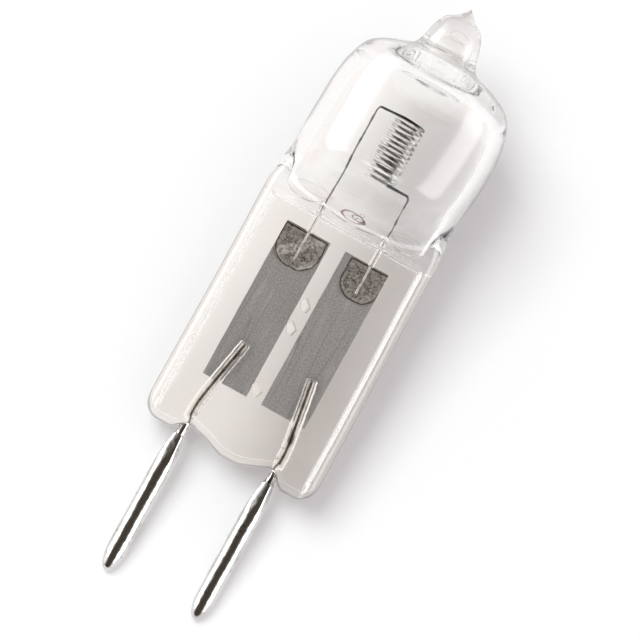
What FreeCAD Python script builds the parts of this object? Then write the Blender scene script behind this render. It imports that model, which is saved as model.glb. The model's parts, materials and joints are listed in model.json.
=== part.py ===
# Halogen capsule lamp with two pins, lying on the bench as it comes to rest.
# The lamp is built upright in its own lamp axes and then laid down. In lamp axes Z runs up the
# lamp from the middle of the pins, where they leave the glass, to the drawn-off tip. X runs
# across the flat pinch, and the front of the pinch looks along -Y. All lengths are millimetres.

import FreeCAD
import Part
import Sketcher
from FreeCAD import Placement, Rotation, Vector

import math
import os
import re

# Driving dimensions: name, value and meaning
SIZES = [
    ("pin_spacing", 6.35, "between the axes of the two pins"),
    ("pin_diameter", 1.3, "straight part of a pin"),
    ("pin_top", -0.6, "top of a pin, below the glass"),
    ("pin_tip", -10.3, "end of a pin's nose"),
    ("pin_nose", 1.4, "length of the rounded nose"),
    ("pin_blunt", 0.32, "diameter of the nose's blunt end"),
    ("nose_turn", 0.56, "height above that end where the nose turns towards it"),
    ("nose_width", 1.04, "diameter at that turn"),
    ("pin_neck", 0.86, "diameter at the top of the pin"),
    ("pin_shoulder", 1.7, "length of the cone from the neck to full diameter"),
    ("crimp_flat", 0.76, "across the squeezed flats at the neck"),
    ("crimp_length", 2.38, "the flats run out this far below the top of the pin"),
    ("socket_depth", 3.0, "how deep the lead sits in its pin"),
    ("socket_gap", 0.01, "clearance between lead and socket"),
    ("lead_diameter", 0.6, "outer lead wire"),
    ("lead_bend", 1.75, "height where an outer lead leans inward"),
    ("lead_end", 6.3, "height where an outer lead ends on its foil"),
    ("left_lead_end", -2.3, "across, end of the left lead"),
    ("right_lead_end", 2.45, "across, end of the right lead"),
    ("lead_gap", 0.12, "glass stands off an outer lead by this much"),
    ("glass_width", 12.16, "across the pinch"),
    ("pinch_length", 15.8, "height of the pressed part"),
    ("pinch_thickness", 3.8, "through the side ribs of the pinch"),
    ("edge_round", 0.8, "round of the pinch's outer edges"),
    ("rib_width", 0.73, "rib left along each side of the pressed panels"),
    ("panel_depth", 0.35, "depth of the pressed panel on each face"),
    ("panel_corner", 0.5, "round of the panel's top corners"),
    ("left_lobe", 0.52, "left lobe of the lower edge hangs below the pins' exit"),
    ("right_lobe", 0.72, "right lobe of the lower edge"),
    ("middle_lobe", 0.62, "middle lobe of the lower edge, before its round"),
    ("lobe_middle", 0.2, "across, lowest point of the middle lobe"),
    ("lobe_round", 5.0, "round of the middle lobe"),
    ("lobe_share", 0.38, "round of the side lobes, as a share of the glass outside a pin's axis"),
    ("corner_lean", 0.3, "the side lobes' outer corners lean out by this much"),
    ("lean_top", 1.65, "height where that lean ends"),
    ("dip_rise", 0.25, "glass rises by this much between the lobes"),
    ("dip_round", 0.6, "round of those dips"),
    ("shoulder_top", 20.0, "height where the flare has become round"),
    ("bulb_diameter", 11.9, "round part, at the shoulder"),
    ("bulb_straight", 23.0, "height up to which the bulb keeps its width"),
    ("bulb_draft", 0.09, "the bulb's radius is less by this much there"),
    ("dome_top", 27.85, "height of the dome at the tip"),
    ("dome_side", 27.25, "height where the dome's slope meets the line of the wall"),
    ("dome_width", 9.7, "width there"),
    ("dome_round", 2.35, "round from the bulb's wall into the dome"),
    ("wall", 1.0, "quartz wall of the bulb"),
    ("dome_wall", 1.4, "quartz at the dome"),
    ("inner_draft", 0.5, "the inner radius is less by this much below the dome"),
    ("inner_side", 25.3, "height where the inner wall turns into the dome"),
    ("tip_root", 4.25, "diameter of the drawn-off tip at the dome"),
    ("tip_shoulder", 30.1, "height where the tip's neck turns in"),
    ("tip_neck", 2.95, "diameter there"),
    ("tip_cone", 30.65, "height where the point begins"),
    ("tip_cone_width", 1.5, "diameter there"),
    ("tip_end", 31.5, "top of the point"),
    ("tip_bore", 1.8, "diameter of the exhaust bore left in the tip"),
    ("tip_bore_end", 29.5, "height where that bore was sealed"),
    ("bore_mouth", 0.45, "slope where the bore opens into the bulb"),
    ("cavity_shoulder", 20.4, "height where the inside has become round"),
    ("cavity_floor", 17.0, "height where the inside has narrowed to a slit"),
    ("slit_margin", 1.23, "glass beside each end of the slit"),
    ("slit_thickness", 1.3, "width of the slit"),
    ("slit_round", 0.58, "round of the slit's ends"),
    ("scallop_width", 1.04, "width of the scallops in the slit's floor"),
    ("scallop_drop", 0.95, "the slit's floor hangs in three scallops of this depth"),
    ("scallop_slope", 0.45, "width of the scallops' slopes up to the legs"),
    ("cusp_rise", 0.55, "glass climbs up each leg between the scallops"),
    ("seal_gap", 0.01, "clearance all round a metal part pressed into the glass"),
    ("foil_width", 3.1, "molybdenum foil"),
    ("foil_thickness", 0.03, "molybdenum foil"),
    ("foil_bottom", 3.45, "lower end of the foils"),
    ("foil_seal", 2.6, "from the upper end of the foils to the slit"),
    ("foil_feather", 0.35, "width of the thinned edge along each side"),
    ("left_foil_middle", -2.22, "across, middle of the left foil"),
    ("right_foil_middle", 1.93, "across, middle of the right foil"),
    ("void_depth", 0.12, "unsealed pocket before each foil's upper end"),
    ("void_below", 0.55, "the pockets begin this much below the legs' ends"),
    ("void_above", 0.1, "the pockets end this much above the foils"),
    ("void_round", 1.0, "round of the pockets' lower corners"),
    ("left_void_middle", -2.35, "across, middle of the left pocket"),
    ("left_void_width", 3.1, "left pocket"),
    ("right_void_middle", 2.22, "across, middle of the right pocket"),
    ("right_void_width", 2.75, "right pocket"),
    ("wire_diameter", 0.21, "tungsten wire of coil and legs"),
    ("leg_gap", 0.07, "bore round a leg in the glass is wider by this much"),
    ("leg_weld", 2.05, "length of a leg that lies on its foil"),
    ("left_leg", -2.2, "across, left leg"),
    ("right_leg", 2.22, "across, right leg"),
    ("leg_bend", 0.32, "round where a leg turns towards the coil"),
    ("coil_diameter", 2.07, "outside of the coil"),
    ("coil_middle", 0.1, "across, axis of the coil"),
    ("coil_bottom", 19.5, "height of the lowest turn"),
    ("coil_pitch", 0.318, "from one turn to the next"),
    ("coil_turns", 12, "whole turns of the coil"),
]

SIDES = ("left", "right")
NAMES = {name for name, _, _ in SIZES}
WORD = re.compile(r"[a-z_]+")
OUTER_STEPS = 12
INNER_STEPS = 10
CORNER_SHARE = 0.97
CRIMP_COUNT = 4
WIRE_FLATS = 6
STATIONS_PER_TURN = 11
BEYOND = 2.0

PANEL_HALF = "(glass_width / 2 - rib_width)"
LOBE_CORNER = "lobe_share * (glass_width - pin_spacing) / 2"
SLIT_HALF = "(glass_width / 2 - slit_margin)"
FOIL_TOP = "(cavity_floor - foil_seal)"
LEG_END = "(cavity_floor - foil_seal - leg_weld)"
LEAD_AXIS = {"left": "-pin_spacing / 2", "right": "pin_spacing / 2"}
FOIL_FRONT = "lead_diameter / 2"
LEG_DEPTH = "lead_diameter / 2 - wire_diameter / 2"


# Sheet and expressions

def make_sheet(doc):
    """Write every size into the sheet, with its alias and its meaning."""
    sheet = doc.addObject("Spreadsheet::Sheet", "Lamp")
    for row, (name, value, meaning) in enumerate(SIZES, start=1):
        sheet.set(f"A{row}", name)
        sheet.set(f"B{row}", str(value))
        sheet.set(f"C{row}", meaning)
        sheet.setAlias(f"B{row}", name)
    doc.recompute()
    return sheet


def bound(text):
    """The same expression with each size taken from the sheet."""
    return WORD.sub(lambda word: "Lamp." + word.group() if word.group() in NAMES else word.group(), text)


def size(text):
    """The present value of an expression in sizes."""
    return float(FreeCAD.ActiveDocument.Lamp.evalExpression(text))


# Sketches

def new_sketch(body, name, role, offset="0"):
    """A sketch on one of the body's own origin planes, moved along its normal by offset."""
    sketch = body.newObject("Sketcher::SketchObject", name)
    plane = next(item for item in body.Origin.OriginFeatures if item.Role == role)
    sketch.AttachmentSupport = [(plane, "")]
    sketch.MapMode = "FlatFace"
    sketch.setExpression(".AttachmentOffset.Base.z", bound(offset))
    return sketch


def bind(sketch, kind, where, text):
    """Add a dimension to the sketch and bind it to an expression."""
    index = sketch.addConstraint(Sketcher.Constraint(kind, *where, size(text)))
    sketch.setExpression(f"Constraints[{index}]", bound(text))


def place_point(sketch, item, end, across, up):
    """Fix one point of a sketch by its two distances from the origin."""
    for kind, axis, text in (("DistanceX", -2, across), ("DistanceY", -1, up)):
        if text == "0":
            sketch.addConstraint(Sketcher.Constraint("PointOnObject", item, end, axis))
        else:
            bind(sketch, kind, (-1, 1, item, end), text)


def corner_arc(before, corner, after, radius):
    """Arc that rounds a corner, with its two ends, and whether it turns left."""
    back = (before - corner).normalize()
    ahead = (after - corner).normalize()
    half = back.getAngle(ahead) / 2
    first = corner + back * (radius / math.tan(half))
    last = corner + ahead * (radius / math.tan(half))
    centre = corner + (back + ahead).normalize() * (radius / math.sin(half))
    middle = centre + (corner - centre).normalize() * radius
    turns_left = (corner - before).cross(after - corner).z > 0
    ends = (first, middle, last) if turns_left else (last, middle, first)
    return Part.Arc(*ends), first, last, turns_left


def outline(sketch, corners, closed=True):
    """Draw straight sides through corners (across, up, round), each rounded by its own radius."""
    count = len(corners)
    points = [Vector(size(across), size(up), 0) for across, up, _ in corners]
    starts, ends, arcs = list(points), list(points), {}
    for index, (_, _, radius) in enumerate(corners):
        if radius != "0":
            arc, first, last, left = corner_arc(points[index - 1], points[index],
                                                points[(index + 1) % count], size(radius))
            arcs[index] = (arc, left)
            ends[index], starts[index] = first, last
    sides = count if closed else count - 1
    lines = [sketch.addGeometry(Part.LineSegment(starts[i], ends[(i + 1) % count])) for i in range(sides)]
    for index, (across, up, radius) in enumerate(corners):
        inner = closed or 0 < index < count - 1
        if index in arcs:
            join_round(sketch, lines[index - 1], lines[index], arcs[index], points[index], corners[index])
        elif inner:
            sketch.addConstraint(Sketcher.Constraint("Coincident", lines[index - 1], 2, lines[index], 1))
        if index not in arcs:
            at_end = not closed and index == count - 1
            place_point(sketch, lines[index - 1] if at_end else lines[index], 2 if at_end else 1, across, up)


def join_round(sketch, before, after, rounding, point, corner):
    """Join two sides by an arc tangent to both, and fix the corner that it rounds."""
    across, up, radius = corner
    shape, turns_left = rounding
    arc = sketch.addGeometry(shape)
    entry, leave = (1, 2) if turns_left else (2, 1)
    sketch.addConstraint(Sketcher.Constraint("Tangent", before, 2, arc, entry))
    sketch.addConstraint(Sketcher.Constraint("Tangent", arc, leave, after, 1))
    bind(sketch, "Radius", (arc,), radius)
    sharp = sketch.addGeometry(Part.Point(point), True)
    sketch.addConstraint(Sketcher.Constraint("PointOnObject", sharp, 1, before))
    sketch.addConstraint(Sketcher.Constraint("PointOnObject", sharp, 1, after))
    place_point(sketch, sharp, 1, across, up)


def circle(sketch, across, up, radius):
    """Draw a circle about a point."""
    centre = Vector(size(across), size(up), 0)
    item = sketch.addGeometry(Part.Circle(centre, Vector(0, 0, 1), size(radius)))
    place_point(sketch, item, 3, across, up)
    bind(sketch, "Radius", (item,), radius)


def round_section(sketch, radius):
    """Draw a circle about the origin in eight arcs, one for each side and corner of a rounded rectangle."""
    turns = [89, 91, 179, 181, 269, 271, 359, 361, 449]
    for first, last in zip(turns, turns[1:]):
        on_circle = [Vector(math.cos(turn), math.sin(turn), 0) * size(radius)
                     for turn in (math.radians(first), math.radians((first + last) / 2), math.radians(last))]
        arc = sketch.addGeometry(Part.Arc(*on_circle))
        if arc > 0:
            sketch.addConstraint(Sketcher.Constraint("Coincident", arc - 1, 2, arc, 1))
        place_point(sketch, arc, 1, f"({radius}) * cos({first} deg)", f"({radius}) * sin({first} deg)")
        bind(sketch, "Radius", (arc,), radius)
    sketch.addConstraint(Sketcher.Constraint("Coincident", arc, 2, 0, 1))


def rounded_rectangle(sketch, half_width, half_height, corner):
    """Draw a rectangle about the origin, from its upper side on."""
    outline(sketch, [
        (half_width, half_height, corner),
        (f"-({half_width})", half_height, corner),
        (f"-({half_width})", f"-({half_height})", corner),
        (half_width, f"-({half_height})", corner),
    ])


# Features

def new_body(doc, name):
    """A body whose label names its file."""
    body = doc.addObject("PartDesign::Body", name)
    body.Label = name
    return body


def extrude(body, kind, name, sketch, length, symmetric=False, reverse=False):
    """Pad or pocket a sketch."""
    feature = body.newObject(f"PartDesign::{kind}", name)
    feature.Profile = sketch
    feature.SideType = "Symmetric" if symmetric else "One side"
    feature.Reversed = reverse
    feature.setExpression("Length", bound(length))
    return feature


def spin(body, kind, name, sketch):
    """Revolve or groove a sketch once round its own upright axis."""
    feature = body.newObject(f"PartDesign::{kind}", name)
    feature.Profile = sketch
    feature.ReferenceAxis = (sketch, ["V_Axis"])
    feature.Angle = 360
    return feature


def loft(body, kind, name, sections):
    """Loft through sketches from the first to the last."""
    feature = body.newObject(f"PartDesign::{kind}", name)
    feature.Profile = sections[0]
    feature.Sections = [(section, [""]) for section in sections[1:]]
    feature.Ruled = True
    return feature


def sweep(body, kind, name, profile, path):
    """Carry a profile along a path."""
    feature = body.newObject(f"PartDesign::{kind}", name)
    feature.Profile = profile
    feature.Spine = (path, ["Edge1", "Edge2"])
    feature.Transition = "Right corner"
    return feature


def mirror_to_back(body, name, feature):
    """Repeat a feature on the other face of the pinch."""
    mirrored = body.newObject("PartDesign::Mirrored", name)
    plane = next(item for item in body.Origin.OriginFeatures if item.Role == "XZ_Plane")
    mirrored.Originals = [feature]
    mirrored.MirrorPlane = (plane, [""])
    body.Tip = mirrored
    return mirrored


# Quartz envelope: pressed pinch, flared shoulder, blown bulb and drawn-off tip

def add_pinch(body):
    """The pressed slab, with rounded outer edges and a lobed lower edge."""
    start = f"-right_lobe - {BEYOND}"
    section = new_sketch(body, "PinchSection", "XY_Plane", start)
    rounded_rectangle(section, "glass_width / 2", "pinch_thickness / 2", "edge_round")
    extrude(body, "Pad", "PinchSlab", section, f"pinch_length - ({start})")
    outside = f"glass_width / 2 + {BEYOND}"
    leaning = "glass_width / 2 + corner_lean"
    edge = new_sketch(body, "LowerEdgeOutline", "XZ_Plane")
    outline(edge, [
        (f"-({outside})", f"{start} - {BEYOND}", "0"),
        (outside, f"{start} - {BEYOND}", "0"),
        (outside, "lean_top", "0"),
        (leaning, "lean_top", "0"),
        ("glass_width / 2", "-right_lobe", LOBE_CORNER),
        (f"pin_spacing / 2 + {LOBE_CORNER}", "-right_lobe", LOBE_CORNER),
        ("pin_spacing / 2 - dip_round / 2", "dip_rise", "dip_round"),
        ("lobe_middle", "-middle_lobe", "lobe_round"),
        ("-pin_spacing / 2 + dip_round / 2", "dip_rise", "dip_round"),
        (f"-pin_spacing / 2 - {LOBE_CORNER}", "-left_lobe", LOBE_CORNER),
        ("-glass_width / 2", "-left_lobe", LOBE_CORNER),
        (f"-({leaning})", "lean_top", "0"),
        (f"-({outside})", "lean_top", "0"),
    ])
    extrude(body, "Pocket", "LowerEdge", edge, f"pinch_thickness + {BEYOND}", symmetric=True)


def flare_sections(body, name, lower, upper, steps):
    """Sections from a flat one (height, half sizes, corner) up to a circle (height, radius)."""
    sections = []
    for step in range(steps):
        rise = step / steps
        share = round((1 - math.cos(math.pi * rise)) / 2, 4)
        height = f"{lower[0]} + ({upper[0]} - ({lower[0]})) * {rise}"
        sketch = new_sketch(body, f"{name}{step}", "XY_Plane", height)
        width, thickness, corner = (f"({low}) * {1 - share:.4f} + ({upper[1]}) * {share * part:.4f}"
                                    for low, part in zip(lower[1:], (1, 1, CORNER_SHARE)))
        rounded_rectangle(sketch, width, thickness, corner)
        sections.append(sketch)
    sketch = new_sketch(body, f"{name}{steps}", "XY_Plane", upper[0])
    round_section(sketch, upper[1])
    return sections + [sketch]


def add_bulb(body):
    """The flared shoulder, the bulb with its dome, and the tip where the exhaust tube was drawn off."""
    flat = ("pinch_length", "glass_width / 2", "pinch_thickness / 2", "edge_round")
    circle_above = ("shoulder_top", "bulb_diameter / 2")
    sections = flare_sections(body, "ShoulderSection", flat, circle_above, OUTER_STEPS)
    loft(body, "AdditiveLoft", "Shoulder", sections)
    sketch = new_sketch(body, "BulbProfile", "XZ_Plane")
    outline(sketch, [
        ("0", "shoulder_top", "0"),
        ("bulb_diameter / 2", "shoulder_top", "0"),
        ("bulb_diameter / 2 - bulb_draft", "bulb_straight", "0"),
        ("dome_width / 2", "dome_side", "dome_round"),
        ("tip_root / 2", "dome_top", "0"),
        ("tip_neck / 2", "tip_shoulder", "0"),
        ("tip_cone_width / 2", "tip_cone", "0"),
        ("0", "tip_end", "0"),
    ])
    spin(body, "Revolution", "Bulb", sketch)


def press_panels(body):
    """The shallow panels that the jaws leave on both faces of the pinch."""
    sketch = new_sketch(body, "PanelOutline", "XZ_Plane", "pinch_thickness / 2 - panel_depth")
    outline(sketch, [
        (f"-{PANEL_HALF}", f"-right_lobe - {BEYOND}", "0"),
        (PANEL_HALF, f"-right_lobe - {BEYOND}", "0"),
        (PANEL_HALF, "pinch_length", "panel_corner"),
        (f"-{PANEL_HALF}", "pinch_length", "panel_corner"),
    ])
    front = extrude(body, "Pocket", "FrontPanel", sketch, f"panel_depth + {BEYOND}", reverse=True)
    mirror_to_back(body, "BackPanel", front)


def hollow_bulb(body):
    """The gas space: round in the bulb, narrowing to a scalloped slit over the pinch, with the tip's bore."""
    sketch = new_sketch(body, "CavityProfile", "XZ_Plane")
    inner_top = "dome_top - dome_wall"
    outline(sketch, [
        ("0", "cavity_shoulder", "0"),
        ("bulb_diameter / 2 - wall", "cavity_shoulder", "0"),
        ("bulb_diameter / 2 - wall - inner_draft", "inner_side", "0"),
        ("tip_bore / 2 + bore_mouth", inner_top, "0"),
        ("tip_bore / 2", f"{inner_top} + bore_mouth", "0"),
        ("tip_bore / 2", "tip_bore_end - tip_bore / 2", "0"),
        ("0", "tip_bore_end", "0"),
    ])
    spin(body, "Groove", "Cavity", sketch)
    slit = ("cavity_floor", SLIT_HALF, "slit_thickness / 2", "slit_round")
    circle_above = ("cavity_shoulder", "bulb_diameter / 2 - wall")
    sections = flare_sections(body, "CavitySection", slit, circle_above, INNER_STEPS)
    loft(body, "SubtractiveLoft", "CavityShoulder", sections)
    scallops = new_sketch(body, "ScallopOutline", "XZ_Plane")
    floor = "cavity_floor - scallop_drop"
    cusp = "cavity_floor - scallop_drop + cusp_rise"
    outline(scallops, [
        (f"-{SLIT_HALF}", "cavity_floor", "0"),
        (f"-{SLIT_HALF}", cusp, "0"),
        (f"-{SLIT_HALF} + scallop_slope", floor, "0"),
        ("left_leg - scallop_slope", floor, "0"),
        ("left_leg", cusp, "0"),
        ("left_leg + scallop_slope", floor, "0"),
        ("right_leg - scallop_slope", floor, "0"),
        ("right_leg", cusp, "0"),
        ("right_leg + scallop_slope", floor, "0"),
        (f"{SLIT_HALF} - scallop_slope", floor, "0"),
        (SLIT_HALF, cusp, "0"),
        (SLIT_HALF, "cavity_floor", "0"),
    ])
    extrude(body, "Pocket", "Scallops", scallops, "scallop_width", symmetric=True)


def open_leg_bores(body):
    """The narrow bores in which the filament's legs run down to the foils."""
    sketch = new_sketch(body, "LegBoreOutline", "XY_Plane", f"{LEG_END} - leg_gap")
    for side in SIDES:
        circle(sketch, f"{side}_leg", LEG_DEPTH, "wire_diameter / 2 + leg_gap")
    extrude(body, "Pocket", "LegBores", sketch, f"cavity_floor - {LEG_END}", reverse=True)


def open_foil_slots(body):
    """The slots in which the foils are sealed."""
    sketch = new_sketch(body, "FoilSlotOutline", "XZ_Plane", f"-({FOIL_FRONT}) + seal_gap")
    for side in SIDES:
        half = "(foil_width / 2 + seal_gap)"
        left, right = f"{side}_foil_middle - {half}", f"{side}_foil_middle + {half}"
        outline(sketch, [
            (left, "foil_bottom - seal_gap", "0"),
            (right, "foil_bottom - seal_gap", "0"),
            (right, f"{FOIL_TOP} + seal_gap", "0"),
            (left, f"{FOIL_TOP} + seal_gap", "0"),
        ])
    extrude(body, "Pocket", "FoilSlots", sketch, "foil_thickness + 2 * seal_gap")


def open_voids(body):
    """The flat pockets round the upper welds, where the glass did not bond to the foils."""
    sketch = new_sketch(body, "VoidOutline", "XZ_Plane", f"-({FOIL_FRONT})")
    for side in SIDES:
        left = f"{side}_void_middle - {side}_void_width / 2"
        right = f"{side}_void_middle + {side}_void_width / 2"
        bottom, top = f"{LEG_END} - void_below", f"{FOIL_TOP} + void_above"
        outline(sketch, [
            (left, top, "0"),
            (left, bottom, "void_round"),
            (right, bottom, "void_round"),
            (right, top, "0"),
        ])
    extrude(body, "Pocket", "WeldVoids", sketch, "void_depth", reverse=True)


def lead_path(body, side, start, past):
    """The bent line of an outer lead, from a height below the glass to a little past its end."""
    path = new_sketch(body, f"{side.title()}LeadPath", "XZ_Plane")
    outline(path, [
        (LEAD_AXIS[side], start, "0"),
        (LEAD_AXIS[side], "lead_bend", "0"),
        (f"{side}_lead_end", f"lead_end + {past}", "0"),
    ], closed=False)
    return path


def open_lead_channels(body):
    """The channels round the outer leads, open at the lower edge of the pinch."""
    start = f"-right_lobe - {BEYOND}"
    for side in SIDES:
        profile = new_sketch(body, f"{side.title()}ChannelOutline", "XY_Plane", start)
        circle(profile, LEAD_AXIS[side], "0", "lead_diameter / 2 + lead_gap")
        path = lead_path(body, side, start, "lead_gap")
        sweep(body, "SubtractivePipe", f"{side.title()}Channel", profile, path)


def make_envelope(doc):
    """One blown and pressed piece of quartz."""
    body = new_body(doc, "quartz_envelope")
    add_pinch(body)
    add_bulb(body)
    press_panels(body)
    hollow_bulb(body)
    open_voids(body)
    open_foil_slots(body)
    open_leg_bores(body)
    open_lead_channels(body)
    return body


# Foils, leads and pins

def make_foil(doc, side):
    """A molybdenum foil with edges thinned to a feather."""
    body = new_body(doc, f"{side}_foil")
    sketch = new_sketch(body, "FoilSection", "XY_Plane", "foil_bottom")
    middle = f"{side}_foil_middle"
    depth = f"{FOIL_FRONT} + foil_thickness / 2"
    front, back = FOIL_FRONT, f"{FOIL_FRONT} + foil_thickness"
    outline(sketch, [
        (f"{middle} - foil_width / 2", depth, "0"),
        (f"{middle} - foil_width / 2 + foil_feather", front, "0"),
        (f"{middle} + foil_width / 2 - foil_feather", front, "0"),
        (f"{middle} + foil_width / 2", depth, "0"),
        (f"{middle} + foil_width / 2 - foil_feather", back, "0"),
        (f"{middle} - foil_width / 2 + foil_feather", back, "0"),
    ])
    extrude(body, "Pad", "Foil", sketch, f"{FOIL_TOP} - foil_bottom")
    return body


def make_lead(doc, side):
    """An outer lead, from the socket in its pin up to the weld on its foil."""
    body = new_body(doc, f"{side}_outer_lead")
    start = "pin_top - socket_depth"
    profile = new_sketch(body, "LeadSection", "XY_Plane", start)
    circle(profile, LEAD_AXIS[side], "0", "lead_diameter / 2")
    sweep(body, "AdditivePipe", "Lead", profile, lead_path(body, side, start, "0"))
    return body


def make_pin(doc, side):
    """A contact pin: neck crimped on the lead that it holds, straight shank and rounded nose."""
    body = new_body(doc, f"{side}_contact_pin")
    sketch = new_sketch(body, "PinProfile", "XZ_Plane")
    outline(sketch, [
        ("0", "pin_tip", "0"),
        ("pin_blunt / 2", "pin_tip", "0"),
        ("nose_width / 2", "pin_tip + nose_turn", "0"),
        ("pin_diameter / 2", "pin_tip + pin_nose", "0"),
        ("pin_diameter / 2", "pin_top - pin_shoulder", "0"),
        ("pin_neck / 2", "pin_top", "0"),
        ("0", "pin_top", "0"),
    ])
    spin(body, "Revolution", "Shank", sketch)
    crimp_neck(doc, body)
    socket = new_sketch(body, "SocketOutline", "XY_Plane", "pin_top")
    circle(socket, "0", "0", "lead_diameter / 2 + socket_gap")
    extrude(body, "Pocket", "Socket", socket, "socket_depth + socket_gap")
    body.Placement.Base.x = size(LEAD_AXIS[side])
    return body


def crimp_neck(doc, body):
    """Squeeze flats on the neck, which run out where the shoulder reaches full diameter."""
    sketch = new_sketch(body, "CrimpOutline", "XZ_Plane")
    outline(sketch, [
        ("crimp_flat / 2", "pin_top", "0"),
        ("pin_diameter / 2", "pin_top - crimp_length", "0"),
        ("pin_diameter", "pin_top - crimp_length", "0"),
        ("pin_diameter", "pin_top", "0"),
    ])
    flat = extrude(body, "Pocket", "CrimpFlat", sketch, "2 * pin_diameter", symmetric=True)
    around = body.newObject("PartDesign::PolarPattern", "CrimpFlats")
    axis = next(item for item in body.Origin.OriginFeatures if item.Role == "Z_Axis")
    around.Originals = [flat]
    around.Axis = (axis, [""])
    around.Angle = 360
    around.Occurrences = CRIMP_COUNT
    body.Tip = around


# Filament: one wire, coiled in the middle, with a leg at each end

def tangent_angle(leg, turn):
    """Angle about the coil where a straight run from a leg meets the coil's front."""
    radius = size("(coil_diameter - wire_diameter) / 2")
    away = Vector(size(leg) - size("coil_middle"), size(LEG_DEPTH), 0)
    return math.atan2(away.y, away.x) + turn * math.acos(radius / away.Length)


def coil_point(angle, height):
    """Point of the wire's centre line at an angle about the coil."""
    radius = size("(coil_diameter - wire_diameter) / 2")
    return Vector(size("coil_middle") + radius * math.cos(angle), radius * math.sin(angle), height)


def coil_stations():
    """Points of the wire's centre line round the coil, from its top down to its lowest turn."""
    top = tangent_angle("left_leg", 1)
    low = tangent_angle("right_leg", -1)
    turns = size("coil_turns") + (low - top) / (2 * math.pi) % 1
    count = round(turns * STATIONS_PER_TURN)
    stations = []
    for step in range(count + 1):
        angle = top + 2 * math.pi * turns * step / count
        height = size("coil_bottom") + size("coil_pitch") * turns * (1 - step / count)
        stations.append(coil_point(angle, height))
    return stations


def leg_stations(leg, meets, slope):
    """Points from the foot of a leg, up and round its bend to where its run starts towards the coil."""
    foot = Vector(size(leg), size(LEG_DEPTH), size(LEG_END))
    run = Vector(meets.x - foot.x, meets.y - foot.y, 0).Length
    corner = Vector(foot.x, foot.y, meets.z + run * slope)
    _, first, last, _ = corner_arc(foot, corner, meets, size("leg_bend"))
    middle = (first + last + corner * 2) * 0.25
    return [foot, first, middle, last]


def wire_stations():
    """Centre line of the whole wire, from the foot of the left leg to the foot of the right one."""
    slope = size("coil_pitch / (pi * (coil_diameter - wire_diameter))")
    coil = coil_stations()
    left = leg_stations("left_leg", coil[0], slope)
    right = leg_stations("right_leg", coil[-1], -slope)
    return left + coil + right[::-1]


def ring(station, along, outward):
    """Section of the wire at a station, as a ring of straight sides across its run."""
    aside = along.cross(outward)
    radius = size("wire_diameter / 2")
    turns = [2 * math.pi * step / WIRE_FLATS for step in range(WIRE_FLATS)]
    corners = [station + (outward * math.cos(turn) + aside * math.sin(turn)) * radius for turn in turns]
    return Part.makePolygon(corners + corners[:1])


def make_filament(doc):
    """The tungsten wire as a ruled loft through rings, each turned as little as its run allows."""
    stations = wire_stations()
    outward = Vector(1, 0, 0)
    rings = []
    for index, station in enumerate(stations):
        before = stations[max(index - 1, 0)]
        after = stations[min(index + 1, len(stations) - 1)]
        along = (after - before).normalize()
        outward = (outward - along * outward.dot(along)).normalize()
        rings.append(ring(station, along, outward))
    filament = doc.addObject("Part::Feature", "filament")
    filament.Label = "filament"
    filament.Shape = Part.makeLoft(rings, True, True)
    return filament


# Laying the lamp down

def resting_tilt(envelope):
    """Slope of the lamp's axis when it lies on the back of its shoulder and on the noses of its pins."""
    radius, nose = size("pin_diameter / 2"), size("pin_tip + pin_nose")
    points, _ = envelope.Shape.tessellate(0.01)
    reaches = [Vector(0, point.y, point.z - nose) for point in points if point.z > size("pinch_length")]
    return max(math.atan2(reach.y, reach.z) - math.asin(radius / reach.Length) for reach in reaches)


def lay_down(parts):
    """Lay the lamp on its back, dome towards +X, with the origin under the middle of its box."""
    tilt = resting_tilt(parts[0])
    across = Vector(0, -1, 0)
    along = Vector(math.cos(tilt), 0, math.sin(tilt))
    turned = Placement(Vector(), Rotation(across, along.cross(across), along))
    boxes = FreeCAD.BoundBox()
    for part in parts:
        shape = part.Shape.copy()
        shape.Placement = turned.multiply(part.Placement)
        boxes.add(shape.optimalBoundingBox(False, False))
    lift = Placement(Vector(-boxes.Center.x, -boxes.Center.y, -boxes.ZMin), Rotation())
    for part in parts:
        part.Placement = lift.multiply(turned).multiply(part.Placement)


def check(doc, parts):
    """Stop unless every object is sound and every part is one valid solid."""
    for item in doc.Objects:
        if {"Invalid", "Error"} & set(item.State):
            raise RuntimeError(f"{item.Name} failed: {item.State}")
    for part in parts:
        if part.Shape.isNull() or not part.Shape.isValid() or len(part.Shape.Solids) != 1:
            raise RuntimeError(f"{part.Label} is not one valid solid")


def main():
    doc = FreeCAD.newDocument("HalogenCapsule")
    make_sheet(doc)
    parts = [make_envelope(doc), make_filament(doc)]
    for side in SIDES:
        parts += [make_foil(doc, side), make_lead(doc, side), make_pin(doc, side)]
    doc.recompute()
    check(doc, parts)
    lay_down(parts)
    os.makedirs("parts", exist_ok=True)
    for part in parts:
        part.Shape.exportStep(f"parts/{part.Label}.step")


main()
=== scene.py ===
import json
import logging
import math
from dataclasses import dataclass
from enum import Enum

import bmesh
import bpy
import numpy as np
from mathutils import Matrix, Vector


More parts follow.
